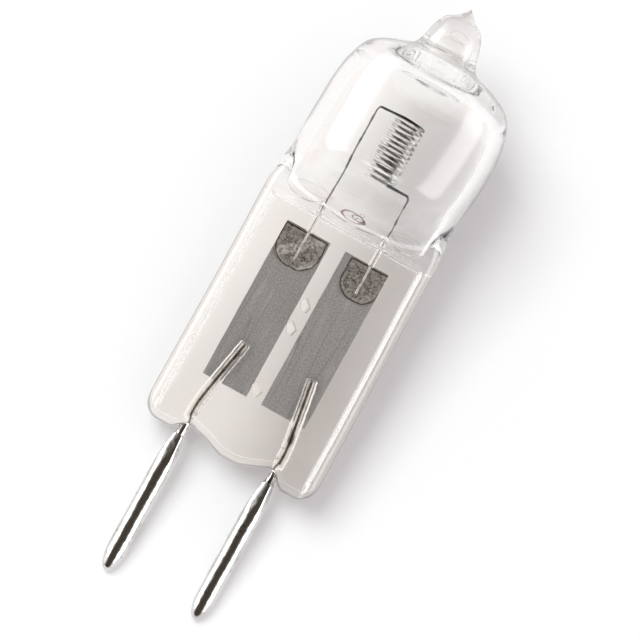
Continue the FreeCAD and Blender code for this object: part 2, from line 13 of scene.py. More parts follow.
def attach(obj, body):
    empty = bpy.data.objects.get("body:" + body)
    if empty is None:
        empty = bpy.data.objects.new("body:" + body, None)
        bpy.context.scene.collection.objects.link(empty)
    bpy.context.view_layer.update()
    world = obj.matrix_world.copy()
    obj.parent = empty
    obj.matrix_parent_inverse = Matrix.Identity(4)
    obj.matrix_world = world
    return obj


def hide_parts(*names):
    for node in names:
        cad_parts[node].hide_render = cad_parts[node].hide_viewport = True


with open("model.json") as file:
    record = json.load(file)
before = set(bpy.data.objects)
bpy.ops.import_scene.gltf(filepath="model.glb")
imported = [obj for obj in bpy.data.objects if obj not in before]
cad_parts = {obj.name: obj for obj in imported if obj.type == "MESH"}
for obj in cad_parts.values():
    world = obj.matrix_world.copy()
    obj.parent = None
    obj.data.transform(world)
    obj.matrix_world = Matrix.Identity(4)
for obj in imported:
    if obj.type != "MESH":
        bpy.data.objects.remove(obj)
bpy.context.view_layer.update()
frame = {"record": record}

Array = np.ndarray
Span = tuple[float, float]
Place = tuple[float, float, float]
Colour = tuple[float, float, float, float]
Box = tuple[float, float, float, float]
Knots = tuple[Span, ...]
Mesh = bpy.types.Mesh
Object = bpy.types.Object
Material = bpy.types.Material
Node = bpy.types.Node
Socket = bpy.types.NodeSocket

MM = 0.001
FULL_TURN, QUARTER_TURN = 2 * math.pi, math.pi / 2
WELD, SLIVER = 0.0004 * MM, 0.0002 * MM
CAP_STEPS, CAP_SHIFT, CAP_CLEAR = 6, 0.0005, 1.2
DEPTHWISE = np.array([[0.0, 1.0, 0.0]])
PIN_SPACING = 6.35
LOG = logging.getLogger("halogen_capsule")


class Slot(Enum):
    """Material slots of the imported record."""

    QUARTZ = "quartz"
    MOLYBDENUM = "molybdenum"
    TUNGSTEN = "tungsten"
    NICKEL = "nickel"


class Side(Enum):
    """Sides of the lamp; the value is the sign of X in lamp axes."""

    LEFT = -1
    RIGHT = 1

    @property
    def word(self) -> str:
        """Word used in the names of pieces."""
        return self.name.lower()

    def of(self, pair: tuple) -> object:
        """This side's entry of a left and right pair."""
        return pair[self is Side.RIGHT]


# Lamp axes

@dataclass(frozen=True)
class LampAxes:
    """Axes of the upright lamp, in which every piece is worked out in millimetres.

    Z runs up the lamp from the middle of the pins at the glass's edge, X across the pinch, and
    the front looks along -Y. The two pin mounts of the record place these axes in the frame.
    """

    mount_height: float = -5.6

    def basis(self) -> tuple[Array, Array]:
        """Rows of lamp X, Y and Z in the frame, and the lamp's origin in metres.

        Returns:
            The 3 x 3 array of directions and the origin.
        """
        mounts = {mount["name"]: mount for mount in frame["record"]["mounts"]}
        left, right = (np.array(mounts[name]["pos_m"]) for name in ("left_pin", "right_pin"))
        up = -np.array(mounts["left_pin"]["axis"])
        up /= np.linalg.norm(up)
        across = (right - left) / np.linalg.norm(right - left)
        rows = np.stack([across, np.cross(up, across), up])
        return rows, (left + right) / 2 - up * self.mount_height * MM

    def place(self, points: Array) -> Array:
        """Move points from lamp axes in millimetres to the frame in metres.

        Args:
            points: Array whose last axis holds X, Y and Z.

        Returns:
            Points of the same shape, in the frame.
        """
        rows, origin = self.basis()
        return points @ rows * MM + origin

    def turn(self, direction: Place) -> Vector:
        """Turn a direction from lamp axes into the frame."""
        return Vector(np.array(direction) @ self.basis()[0])


AXES = LampAxes()


# Shapes on grids

def xyz(x: Array | float, y: Array | float, z: Array | float) -> Array:
    """Points whose coordinates are spread over one common grid."""
    return np.stack(np.broadcast_arrays(x, y, z), -1)


def smooth_step(value: Array, low: float, high: float) -> Array:
    """Rise from 0 at low to 1 at high along 3t^2 - 2t^3.

    Args:
        value: Where to read the curve.
        low: Start of the rise.
        high: End of the rise.

    Returns:
        The curve's height at each value.
    """
    share = np.clip((value - low) / (high - low), 0, 1)
    return share * share * (3 - 2 * share)


def curve_through(knots: Knots, per_span: int) -> Array:
    """Carry a Catmull-Rom curve through knots; each span is a cubic of its four nearest knots.

    Args:
        knots: Points that the curve passes through.
        per_span: Steps between two knots.

    Returns:
        Points along the curve, the last knot included.
    """
    points = np.array(knots, float)
    padded = np.vstack([2 * points[0] - points[1], points, 2 * points[-1] - points[-2]])
    share = (np.arange(per_span) / per_span)[None, :, None]
    before, start, end, after = (padded[i:len(padded) - 3 + i, None, :] for i in range(4))
    spans = 0.5 * (2 * start + (end - before) * share
                   + (2 * before - 5 * start + 4 * end - after) * share ** 2
                   + (3 * start - before - 3 * end + after) * share ** 3)
    return np.vstack([spans.reshape(-1, points.shape[1]), points[-1:]])


@dataclass(frozen=True)
class Waves:
    """Sum of sine waves whose lengths, in millimetres, and phases are drawn from a seed."""

    size: float
    seed: int
    shortest: float
    longest: float
    count: int

    def at(self, position: Array) -> Array:
        """Height of the sum, about -size to size.

        Args:
            position: Where to read the waves, in millimetres.

        Returns:
            The height at each position.
        """
        draw = np.random.default_rng(self.seed)
        lengths = draw.uniform(self.shortest, self.longest, self.count)
        phases = draw.uniform(0, FULL_TURN, self.count)
        turns = position[..., None] * (FULL_TURN / lengths) + phases
        return self.size * np.sin(turns).sum(-1) / self.count


@dataclass
class Surface:
    """A grid of points in lamp axes whose rows are closed loops; it becomes one closed mesh."""

    name: str
    points: Array
    sharp: float = 40.0

    def faces(self) -> Array:
        """Quads between neighbouring rows and columns.

        Returns:
            Indices of the four corners of each face.
        """
        rows, columns = self.points.shape[:2]
        index = np.arange(rows * columns).reshape(rows, columns)
        index = np.concatenate([index, index[:, :1]], axis=1)
        corners = (index[:-1, :-1], index[:-1, 1:], index[1:, 1:], index[1:, :-1])
        return np.stack(corners, -1).reshape(-1, 4)

    def mesh(self) -> Mesh:
        """Build the mesh in the frame, weld seams and poles, turn faces outward and shade it.

        Returns:
            The finished mesh.
        """
        mesh = bpy.data.meshes.new(self.name)
        points = AXES.place(self.points.reshape(-1, 3))
        mesh.from_pydata(points.tolist(), [], self.faces().tolist())
        work = bmesh.new()
        work.from_mesh(mesh)
        bmesh.ops.remove_doubles(work, verts=work.verts, dist=WELD)
        bmesh.ops.dissolve_degenerate(work, edges=work.edges, dist=SLIVER)
        bmesh.ops.recalc_face_normals(work, faces=work.faces)
        if work.calc_volume(signed=True) < 0:
            bmesh.ops.reverse_faces(work, faces=work.faces)
        work.to_mesh(mesh)
        work.free()
        mesh.shade_smooth()
        mesh.set_sharp_from_angle(angle=math.radians(self.sharp))
        return mesh


def new_object(name: str, mesh: Mesh) -> Object:
    """Link a new object that holds the mesh, at the frame's origin."""
    item = bpy.data.objects.new(name, mesh)
    bpy.context.scene.collection.objects.link(item)
    return item


def dress(item: Object, node: str, material: Material) -> None:
    """Give a piece its material and tie it to the frame.

    Args:
        item: The finished piece.
        node: CAD node that the piece stands for.
        material: Finish of the whole piece.
    """
    item.data.materials.clear()
    item.data.materials.append(material)
    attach(item, "root")
    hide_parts(node)
    LOG.info("%s: %d faces", item.name, len(item.data.polygons))


def tube(name: str, path: Array, radius: Array, sides: int, aside: Array = DEPTHWISE) -> Surface:
    """Carry a circle along a path, with its first direction square to the path and to aside.

    Each point is path + radius * (cos a * n + sin a * b), with n = t x aside and b = t x n.

    Args:
        name: Name of the mesh.
        path: Stations of the centre line.
        radius: Radius at each station; 0 at both ends closes the tube.
        sides: Points round the tube.
        aside: A direction, or one for each station, that is never along the path.

    Returns:
        The tube's surface.
    """
    along = np.gradient(path, axis=0)
    along /= np.linalg.norm(along, axis=1, keepdims=True)
    normal = np.cross(along, aside)
    normal /= np.linalg.norm(normal, axis=1, keepdims=True)
    other = np.cross(along, normal)
    turn = np.linspace(0, FULL_TURN, sides, endpoint=False)[None, :, None]
    ring = normal[:, None] * np.cos(turn) + other[:, None] * np.sin(turn)
    return Surface(name, path[:, None] + ring * radius[:, None, None])


def capped(path: Array, radius: float, rounding: float) -> tuple[Array, Array]:
    """Close both ends of a rod with a flat face and a small round.

    The ends repeat the first and last station, moved back along a quarter circle of the
    rounding. The radius falls there from full to full minus rounding, and then to 0.

    Args:
        path: Stations of the centre line.
        radius: Radius of the rod.
        rounding: Round between side and end face.

    Returns:
        The longer path and the radius at each of its stations.
    """
    turn = np.linspace(0, QUARTER_TURN, CAP_STEPS)
    fall, sink = radius - rounding * (1 - np.cos(turn)), rounding * (1 - np.sin(turn))
    first, last = path[1] - path[0], path[-1] - path[-2]
    first, last = first / np.linalg.norm(first), last / np.linalg.norm(last)
    back = np.append(sink + CAP_SHIFT, [CAP_SHIFT / 2, 0.0])[:, None]
    clear = [np.linalg.norm(path - end, axis=1) > rounding * CAP_CLEAR for end in path[[0, -1]]]
    inner = path[clear[0] & clear[1]]
    cap = np.append(fall, [fall[-1] / 2, 0])
    stations = np.vstack([path[0] + back[::-1] * first, inner, path[-1] - back * last])
    return stations, np.concatenate([cap[::-1], np.full(len(inner), radius), cap])


# Quartz envelope

@dataclass
class Ring:
    """Closed section that is a rounded rectangle low down and a circle above.

    Both are read at the same shares of a quarter, so that a blend of the two turns one into the
    other. Columns crowd together where the pressed panel ends.
    """

    width: float
    thickness: float
    corner: float
    flat_steps: int
    crowd: float = 0.0
    crowd_steps: int = 9
    corner_steps: int = 12
    side_steps: int = 6

    def whole(self) -> tuple[Array, Array]:
        """Points all round and their angles: one quarter, from y = 0 to x = 0, mirrored twice.

        Returns:
            The points of the rounded rectangle, and the angle of each point on the circle.
        """
        half_width, half_thickness = self.width / 2, self.thickness / 2
        side = np.linspace(0, half_thickness - self.corner, self.side_steps, endpoint=False)
        turn = np.linspace(0, QUARTER_TURN, self.corner_steps, endpoint=False)
        start = half_width - self.corner
        flat = np.linspace(start - self.crowd, 0, self.flat_steps)
        if self.crowd:
            near = np.linspace(start, start - self.crowd, self.crowd_steps, endpoint=False)
            flat = np.append(near, flat)
        points = np.concatenate([
            np.stack([np.full_like(side, half_width), side], -1),
            np.stack([start + self.corner * np.cos(turn),
                      half_thickness - self.corner + self.corner * np.sin(turn)], -1),
            np.stack([flat, np.full_like(flat, half_thickness)], -1),
        ])
        reach = np.append(0, np.cumsum(np.linalg.norm(np.diff(points, axis=0), axis=1)))
        angles = reach / reach[-1] * QUARTER_TURN
        half = np.vstack([points, points[-2::-1] * [-1, 1]])
        turns = np.append(angles, math.pi - angles[-2::-1])
        return (np.vstack([half, half[-2:0:-1] * [1, -1]]),
                np.append(turns, FULL_TURN - turns[-2:0:-1]))


@dataclass
class Envelope:
    """The blown and pressed quartz: pinch, flared shoulder, bulb, tip and the gas space inside."""

    glass_width: float = 12.1
    pinch_length: float = 15.8
    pinch_thickness: float = 3.8
    pinch_rows: tuple[int, int] = (78, 14)
    pinch_split: Span = (0.955, 0.96)
    edge_round: float = 0.8
    edge_crowd: float = 0.3
    face_steps: int = 26
    lower_round: float = 0.75
    lower_corner: float = 1.2
    round_rows: int = 10
    side_lobes: Span = (0.5, 0.7)
    lobe_rise: Span = (2.95, 4.1)
    middle_lobe: float = 0.6
    lobe_middle: float = 0.2
    middle_rise: Span = (0.3, 2.5)
    dip_rise: float = 0.2
    dip_width: float = 0.5
    taper: float = 0.016
    taper_span: Span = (2.0, 14.0)
    panel_half: float = 5.3
    panel_depth: float = 0.3
    panel_slope: float = 0.3
    panel_top_slope: float = 0.5
    panel_waves: Waves = Waves(0.012, 8, 1.5, 5.0, 5)
    rib_waves: Waves = Waves(0.014, 5, 1.8, 6.0, 7)
    face_from: float = 0.6
    shoulder_top: float = 20.0
    shoulder_rows: int = 34
    bulb_radius: float = 5.87
    waist: float = 0.024
    waist_height: float = 19.0
    waist_width: float = 1.5
    dome_flat: float = 0.045
    flat_rise: Span = (22.0, 24.5)
    flat_fall: Span = (27.2, 28.0)
    floor_height: float = 15.95
    floor_round: float = 0.15
    slit_width: float = 9.7
    slit_thickness: float = 1.84
    slit_corner: float = 0.6
    slit_steps: int = 44
    scallop_ends: Span = (-2.2, 2.22)
    scallop_middles: Place = (-3.53, 0.01, 3.54)
    scallop_halves: Span = (1.34, 2.21)
    cusp: float = 0.6
    cusp_power: float = 2.6
    wall: float = 0.98
    wall_steps: int = 400
    index: float = 1.458
    cavity_radius: float = 4.89
    channel_radius: float = 0.43
    channel_waves: Waves = Waves(0.07, 21, 0.3, 1.1, 7)
    channel_from: float = -2.0
    channel_beyond: float = 0.12
    channel_round: float = 0.15
    bore_radius: float = 0.19
    bore_round: float = 0.05
    bore_across: float = 2.21
    bore_depth: float = 0.195
    bore_span: Span = (14.3, 17.05)
    bore_steps: int = 40
    pocket_middles: Span = (-2.35, 2.22)
    pocket_widths: Span = (3.02, 2.7)
    pocket_span: Span = (11.85, 14.45)
    pocket_corner: float = 1.0
    pocket_levels: Knots = ((0.0, 0.298), (0.97, 0.298), (1.0, 0.27), (1.0, 0.21), (0.96, 0.185),
                            (0.0, 0.18))
    flakes: tuple[Place, ...] = ((-0.2, 10.2, 42.5), (-0.3, 8.55, 42.3), (-0.34, 4.15, 41.6))
    flake_outline: Knots = ((-0.52, 0.2), (-0.1, 0.5), (0.54, 0.04), (0.36, -0.42), (-0.2, -0.3))
    flake_levels: Knots = ((0.0, 0.012), (1.0, 0.012), (1.0, -0.012), (0.0, -0.012))
    flake_depth: float = -0.5
    sharp: float = 38.0
    sway: Knots = (
        (-2.0, 0.0), (4.0, 0.0), (9.0, -0.02), (14.0, -0.09), (17.0, -0.1), (19.3, -0.03),
        (22.0, 0.15), (24.0, 0.19), (26.3, 0.17), (28.0, 0.0), (32.0, 0.0))
    bulb_profile: Knots = (
        (5.87, 20.0), (5.875, 21.2), (5.87, 22.3), (5.83, 23.8), (5.56, 25.35), (4.99, 26.6),
        (3.95, 27.31), (2.85, 27.72), (2.24, 28.0), (1.96, 28.4), (1.80, 28.95), (1.66, 29.5),
        (1.45, 30.05), (1.2, 30.42), (0.76, 30.68), (0.36, 31.05), (0.16, 31.32), (0.0, 31.49))
    cavity_profile: Knots = (
        (4.89, 20.0), (4.9, 20.8), (4.9, 21.8), (4.87, 23.2), (4.72, 24.5), (4.32, 25.5),
        (3.5, 26.15), (2.4, 26.45), (1.5, 26.6), (1.2, 26.87), (1.12, 27.4), (1.05, 28.0),
        (0.98, 28.6), (0.82, 29.1), (0.5, 29.42), (0.0, 29.5))
    bulb_steps: int = 7
    cavity_steps: int = 6
    sway_steps: int = 8

    def lower_edge(self, across: Array) -> Array:
        """Height of the lower edge: three lobes, dips beside the leads, round outer corners.

        Args:
            across: X of each point.

        Returns:
            Height of the edge there.
        """
        away = np.abs(across)
        edge = -np.where(across < 0, *self.side_lobes) * smooth_step(away, *self.lobe_rise)
        off = np.abs(across - self.lobe_middle)
        edge -= self.middle_lobe * (1 - smooth_step(off, *self.middle_rise))
        edge += self.dip_rise * np.exp(-((away - self.lobe_rise[0]) / self.dip_width) ** 2)
        corner = self.lower_corner
        into = np.clip(away - (self.glass_width / 2 - corner), 0, corner)
        return edge + corner - np.sqrt(corner ** 2 - into ** 2)

    def outer_points(self) -> Array:
        """Grid of the outside, from the lower edge up to the tip.

        Low rows close the lower edge with a quarter round. The next rows fill the pinch and
        follow the lobes less and less. The rows above blend the section into a circle and then
        follow the bulb's profile.

        Returns:
            Rows of points from the bottom to the top.
        """
        ring, angles = Ring(self.glass_width, self.pinch_thickness, self.edge_round,
                            self.face_steps, self.edge_crowd).whole()
        low = self.lower_edge(ring[:, 0])
        turn = np.linspace(0, QUARTER_TURN, self.round_rows)[:-1, None]
        bottom = self.slab(ring, low + self.lower_round * (1 - np.cos(turn)), np.sin(turn))
        share = np.append(np.linspace(0, self.pinch_split[0], self.pinch_rows[0]),
                          np.linspace(self.pinch_split[1], 1, self.pinch_rows[1]))[:, None]
        start = low + self.lower_round
        height = start + (self.pinch_length - start) * share
        pinch = self.slab(ring, height)
        rise = np.linspace(0, 1, self.shoulder_rows)[1:-1, None]
        blend = ((1 - np.cos(math.pi * rise)) / 2)[..., None]
        circle = np.stack([np.cos(angles), np.sin(angles)], -1) * self.bulb_radius
        height = self.pinch_length + (self.shoulder_top - self.pinch_length) * rise
        shoulder = self.slab(ring, height)
        shoulder[..., :2] = shoulder[..., :2] * (1 - blend) + circle * blend
        bulb = self.spun(angles, curve_through(self.bulb_profile, self.bulb_steps))
        return self.swayed(np.concatenate([bottom, pinch, shoulder, bulb]))

    def slab(self, ring: Array, height: Array, fullness: Array | float = 1.0) -> Array:
        """Rows of the pressed slab, with its panels sunk and its ribs a little wavy.

        Args:
            ring: Points of the section.
            height: Height of each row and column.
            fullness: Share of the full thickness in each row.

        Returns:
            Rows of points.
        """
        across = ring[:, 0]
        narrow = 1 - self.taper * smooth_step(height, *self.taper_span)
        edge = self.panel_half + self.panel_slope / 2 - np.abs(across)
        inside = smooth_step(edge, 0, self.panel_slope)
        below = smooth_step(self.pinch_length - height, 0, self.panel_top_slope)
        rib = (1 - inside) * self.rib_waves.at(height + 3 * np.sign(across))
        faint = inside * self.panel_waves.at(height + across * 0.7)
        sink = self.panel_depth * inside * below - rib + faint
        depth = np.abs(ring[:, 1]) - sink * (np.abs(ring[:, 1]) > self.face_from)
        return xyz(across * narrow, np.sign(ring[:, 1]) * depth * fullness, height)

    def swayed(self, points: Array) -> Array:
        """Bend points as blown glass bends: a slight waist, and a bulb that leans to the right.

        The dome is also a little flatter from front to back than from side to side.

        Args:
            points: Points whose last axis holds X, Y and Z.

        Returns:
            The bent points.
        """
        height = points[..., 2]
        knots = curve_through(self.sway, self.sway_steps)
        shift = np.interp(height, knots[:, 0], knots[:, 1])
        bell = np.exp(-((height - self.waist_height) / self.waist_width) ** 2)
        dome = smooth_step(height, *self.flat_rise) * (1 - smooth_step(height, *self.flat_fall))
        return xyz(points[..., 0] * (1 - self.waist * bell) + shift,
                   points[..., 1] * (1 - self.dome_flat * dome), height)

    @staticmethod
    def spun(angles: Array, profile: Array) -> Array:
        """Rows of a round body: each profile point (radius, height) goes round the axis.

        Args:
            angles: Angle of each column.
            profile: Radius and height of each row.

        Returns:
            Rows of points.
        """
        radius, height = profile[:, :1], profile[:, 1:]
        return xyz(radius * np.cos(angles), radius * np.sin(angles), height)

    def cavity_points(self) -> Array:
        """Grid of the gas space, from the scalloped floor up to the sealed end of the tip's bore.

        The floor hangs in three scallops between the legs, z = floor + cusp * s^power with s
        from the middle of a scallop to its cusps. Above it the section changes from a slit to a
        circle with the height, so that the wall keeps its thickness all along the shoulder.

        Returns:
            Rows of points from the bottom to the top.
        """
        ring, angles = Ring(self.slit_width, self.slit_thickness, self.slit_corner,
                            self.slit_steps).whole()
        across = ring[:, 0]
        left, centre, right = self.scallop_middles
        ends = [across < self.scallop_ends[0], across > self.scallop_ends[1]]
        middle = np.select(ends, [left, right], centre)
        outer, inner = self.scallop_halves
        half = np.where(np.abs(across) > inner, outer, inner)
        climb = np.clip(np.abs(across - middle) / half, 0, 1) ** self.cusp_power
        start = self.floor_height + self.cusp * climb + self.floor_round
        turn = np.linspace(0, QUARTER_TURN, self.round_rows)[:-1, None]
        share = np.linspace(0, 1, self.slit_steps)[:-1, None]
        bottom = self.flared(ring, angles, start * np.ones_like(turn))
        bottom[..., 1] *= np.sin(turn)
        bottom[..., 2] -= self.floor_round * np.cos(turn)
        walls = self.flared(ring, angles, start + (self.shoulder_top - start) * share)
        dome = self.spun(angles, curve_through(self.cavity_profile, self.cavity_steps))
        return self.swayed(np.concatenate([bottom, walls, dome]))

    def wall_curve(self) -> tuple[Array, Array]:
        """Height and blend of the gas space along a wall that bends no sight line.

        A sight line square to the face meets the outside at the tilt a, bends by
        b = a - asin(sin a / index) and runs s through the wall. It leaves straight where both
        sides are parallel, which asks s to change by -s * tan(a - b) for each change of b.

        Returns:
            Heights and the share of the circle at each.
        """
        rise = np.linspace(0, 1, self.wall_steps)
        reach = self.bulb_radius - self.pinch_thickness / 2
        height = self.pinch_length + (self.shoulder_top - self.pinch_length) * rise
        depth = self.pinch_thickness / 2 + reach * (1 - np.cos(math.pi * rise)) / 2
        tilt = np.arctan2(np.gradient(depth), np.gradient(height))
        bend = tilt - np.arcsin(np.sin(tilt) / self.index)
        lean = np.tan(tilt - bend)
        growth = np.append(0, np.cumsum(-np.diff(bend) * (lean[1:] + lean[:-1]) / 2))
        through = self.wall * np.exp(growth - growth[-1])
        inner = depth - through * np.cos(bend)
        share = (inner - inner[0]) / (inner[-1] - inner[0])
        return np.maximum.accumulate(height + through * np.sin(bend)), share

    def flared(self, ring: Array, angles: Array, height: Array) -> Array:
        """Rows of the gas space in the shoulder, blended from slit to circle up the wall's curve.

        Args:
            ring: Points of the slit.
            angles: Angle of each column on the circle.
            height: Height of each row and column.

        Returns:
            Rows of points.
        """
        blend = np.interp(height, *self.wall_curve())[..., None]
        circle = np.stack([np.cos(angles), np.sin(angles)], -1) * self.cavity_radius
        return np.concatenate([ring * (1 - blend) + circle * blend, height[..., None]], -1)

    def bore(self, side: Side) -> Surface:
        """Narrow bore round a leg, from the weld's pocket into the gas space.

        Args:
            side: Side of the lamp.

        Returns:
            The closed tube that is cut from the glass.
        """
        height = np.linspace(*self.bore_span, self.bore_steps)
        path = xyz(side.value * self.bore_across, self.bore_depth, height)
        return tube(f"{side.word}_bore", *capped(path, self.bore_radius, self.bore_round), 28)

    def pocket(self, side: Side) -> Surface:
        """Flat unsealed pocket over the weld, with a straight top and rounded lower corners.

        Args:
            side: Side of the lamp.

        Returns:
            The closed pocket that is cut from the glass.
        """
        half, corner = side.of(self.pocket_widths) / 2, self.pocket_corner
        bottom, top = self.pocket_span
        turn = np.linspace(0, QUARTER_TURN, 12)
        high, low = corner * (1 - np.cos(turn)), corner * (1 - np.sin(turn))
        outline = np.concatenate([[[-half, top], [0, top], [half, top]],
                                  np.stack([half - high, bottom + low], -1),
                                  np.stack([low - half, bottom + high], -1)])
        centre = np.array([0, (top + bottom) / 2])
        share, depth = np.array(self.pocket_levels).T[..., None]
        flat = centre + (outline - centre) * share[..., None]
        rows = xyz(side.of(self.pocket_middles) + flat[..., 0], depth, flat[..., 1])
        return Surface(f"{side.word}_pocket", rows)

    def flake(self, across: float, height: float, tilt: float) -> Surface:
        """Thin five-cornered gas flake between the foils, turned about the lamp's axis.

        Args:
            across: X of its middle.
            height: Z of its middle.
            tilt: Turn in degrees.

        Returns:
            The closed flake that is cut from the glass.
        """
        share, deep = np.array(self.flake_levels).T[..., None]
        wide, high = np.array(self.flake_outline).T[:, None] * share
        turn = math.radians(tilt)
        rows = xyz(across + wide * math.cos(turn) - deep * math.sin(turn),
                   self.flake_depth + wide * math.sin(turn) + deep * math.cos(turn),
                   height + high)
        return Surface("flake", rows)

    def channel(self, side: Side, path: Array) -> Surface:
        """Uneven channel in the glass round an outer lead.

        Args:
            side: Side of the lamp.
            path: Centre line of the lead.

        Returns:
            The closed tube that is cut from the glass.
        """
        path = path[path[:, 2] > self.channel_from]
        end = (path[-1] - path[-2]) / np.linalg.norm(path[-1] - path[-2])
        path = np.vstack([path, path[-1] + end * self.channel_beyond])
        path, radius = capped(path, self.channel_radius, self.channel_round)
        radius = radius * (1 + self.channel_waves.at(path[:, 2]))
        return tube(f"{side.word}_channel", path, radius, 40)

    @staticmethod
    def cut(body: Object, cutter: Surface) -> None:
        """Cut a closed surface out of the body for good.

        Args:
            body: Object whose mesh is cut.
            cutter: Closed surface to take away.
        """
        tool = new_object("cutter", cutter.mesh())
        tool.data.attributes.new("outside", "FLOAT", "FACE")
        modifier = body.modifiers.new("cut", "BOOLEAN")
        modifier.operation, modifier.solver, modifier.object = "DIFFERENCE", "EXACT", tool
        bpy.context.view_layer.update()
        evaluated = body.evaluated_get(bpy.context.evaluated_depsgraph_get())
        mesh = bpy.data.meshes.new_from_object(evaluated)
        body.modifiers.clear()
        body.data = mesh
        bpy.data.objects.remove(tool)

    def build(self, leads: dict[Side, Array]) -> Object:
        """Build the glass with its gas space, bores, pockets, lead channels and flakes.

        Args:
            leads: Centre line of each outer lead.

        Returns:
            The finished piece.
        """
        body = new_object("bulb_glass", Surface("bulb_glass", self.outer_points()).mesh())
        mark = body.data.attributes.new("outside", "FLOAT", "FACE")
        mark.data.foreach_set("value", np.ones(len(body.data.polygons), np.float32))
        self.cut(body, Surface("gas_space", self.cavity_points()))
        for side in Side:
            for cutter in (self.bore(side), self.pocket(side), self.channel(side, leads[side])):
                self.cut(body, cutter)
        for flake in self.flakes:
            self.cut(body, self.flake(*flake))
        body.data.name = "bulb_glass"
        body.data.shade_smooth()
        body.data.set_sharp_from_angle(angle=math.radians(self.sharp))
        return body


# Metal parts

@dataclass
class Lead:
    """Outer lead: straight in its pin, bent inward in the glass and ending on its foil."""

    side: Side
    end: float
    radius: float = 0.3
    bend: float = 1.75
    ease: float = 0.3
    top: float = 6.3
    foot: float = -3.6
    stations: int = 160
    end_round: float = 0.06

    def path(self) -> Array:
        """Centre line; the lean grows as ease * ln(1 + e^((z - bend) / ease)).

        Returns:
            Stations from the foot to the top.
        """
        across = self.side.value * PIN_SPACING / 2
        slope = (self.end - across) / (self.top - self.bend)
        height = np.linspace(self.foot, self.top, self.stations)
        beyond = np.log1p(np.exp((height - self.bend) / self.ease)) * self.ease
        return xyz(across + slope * beyond, 0.0, height)

    def surface(self) -> Surface:
        """Round rod along the path with small rounds at its ends."""
        rod = capped(self.path(), self.radius, self.end_round)
        return tube(f"{self.side.word}_lead", *rod, 48)


@dataclass
class Pin:
    """Contact pin: crimped neck, straight shank, rounded nose and the socket for its lead."""

    side: Side
    sides: int = 96
    nose: Knots = ((0.0, -10.3), (0.13, -10.29), (0.27, -10.17), (0.4, -9.97), (0.51, -9.68),
                   (0.598, -9.3), (0.64, -8.95), (0.648, -8.7))
    shank: Span = (-8.4, -2.9)
    shank_rows: int = 24
    neck: Knots = ((0.648, -2.55), (0.64, -2.2), (0.6, -1.85), (0.54, -1.45), (0.475, -1.05),
                   (0.43, -0.75), (0.405, -0.64))
    socket: Knots = ((0.36, -0.6), (0.32, -0.63), (0.308, -0.7), (0.306, -3.6), (0.0, -3.61))
    flats: Knots = ((-2.9, 0.7), (-2.3, 0.6), (-1.5, 0.45), (-0.6, 0.37))
    flats_turn: float = 0.35
    blunt: float = 12.0
    sharp: float = 32.0

    def surface(self) -> Surface:
        """Turned pin whose neck is squeezed by four flats.

        The squeezed radius is (r^-n + (flat / cos a)^-n)^(-1/n), which is the smaller of the
        two with a soft edge between them.
        """
        shank = np.linspace(*self.shank, self.shank_rows)
        straight = np.stack([np.full_like(shank, self.nose[-1][0]), shank], -1)
        outside = np.vstack([curve_through(self.nose, 6), straight, curve_through(self.neck, 5)])
        inside = np.array(self.socket)
        turn = np.linspace(0, FULL_TURN, self.sides, endpoint=False)
        radius, height = outside[:, :1], outside[:, 1:]
        flat = np.interp(height, *np.array(self.flats).T)
        eighth = QUARTER_TURN / 2
        off = np.abs((turn + self.flats_turn + eighth) % QUARTER_TURN - eighth)
        soft = (radius ** -self.blunt + (flat / np.cos(off)) ** -self.blunt) ** (-1 / self.blunt)
        crimped = np.where(height > self.shank[1], soft, radius * np.ones_like(turn))
        rings = np.concatenate([crimped, inside[:, :1] * np.ones_like(turn)])
        heights = np.concatenate([height, inside[:, 1:]])
        across = self.side.value * PIN_SPACING / 2
        points = xyz(across + rings * np.cos(turn), rings * np.sin(turn), heights)
        return Surface(f"{self.side.word}_pin", points, self.sharp)


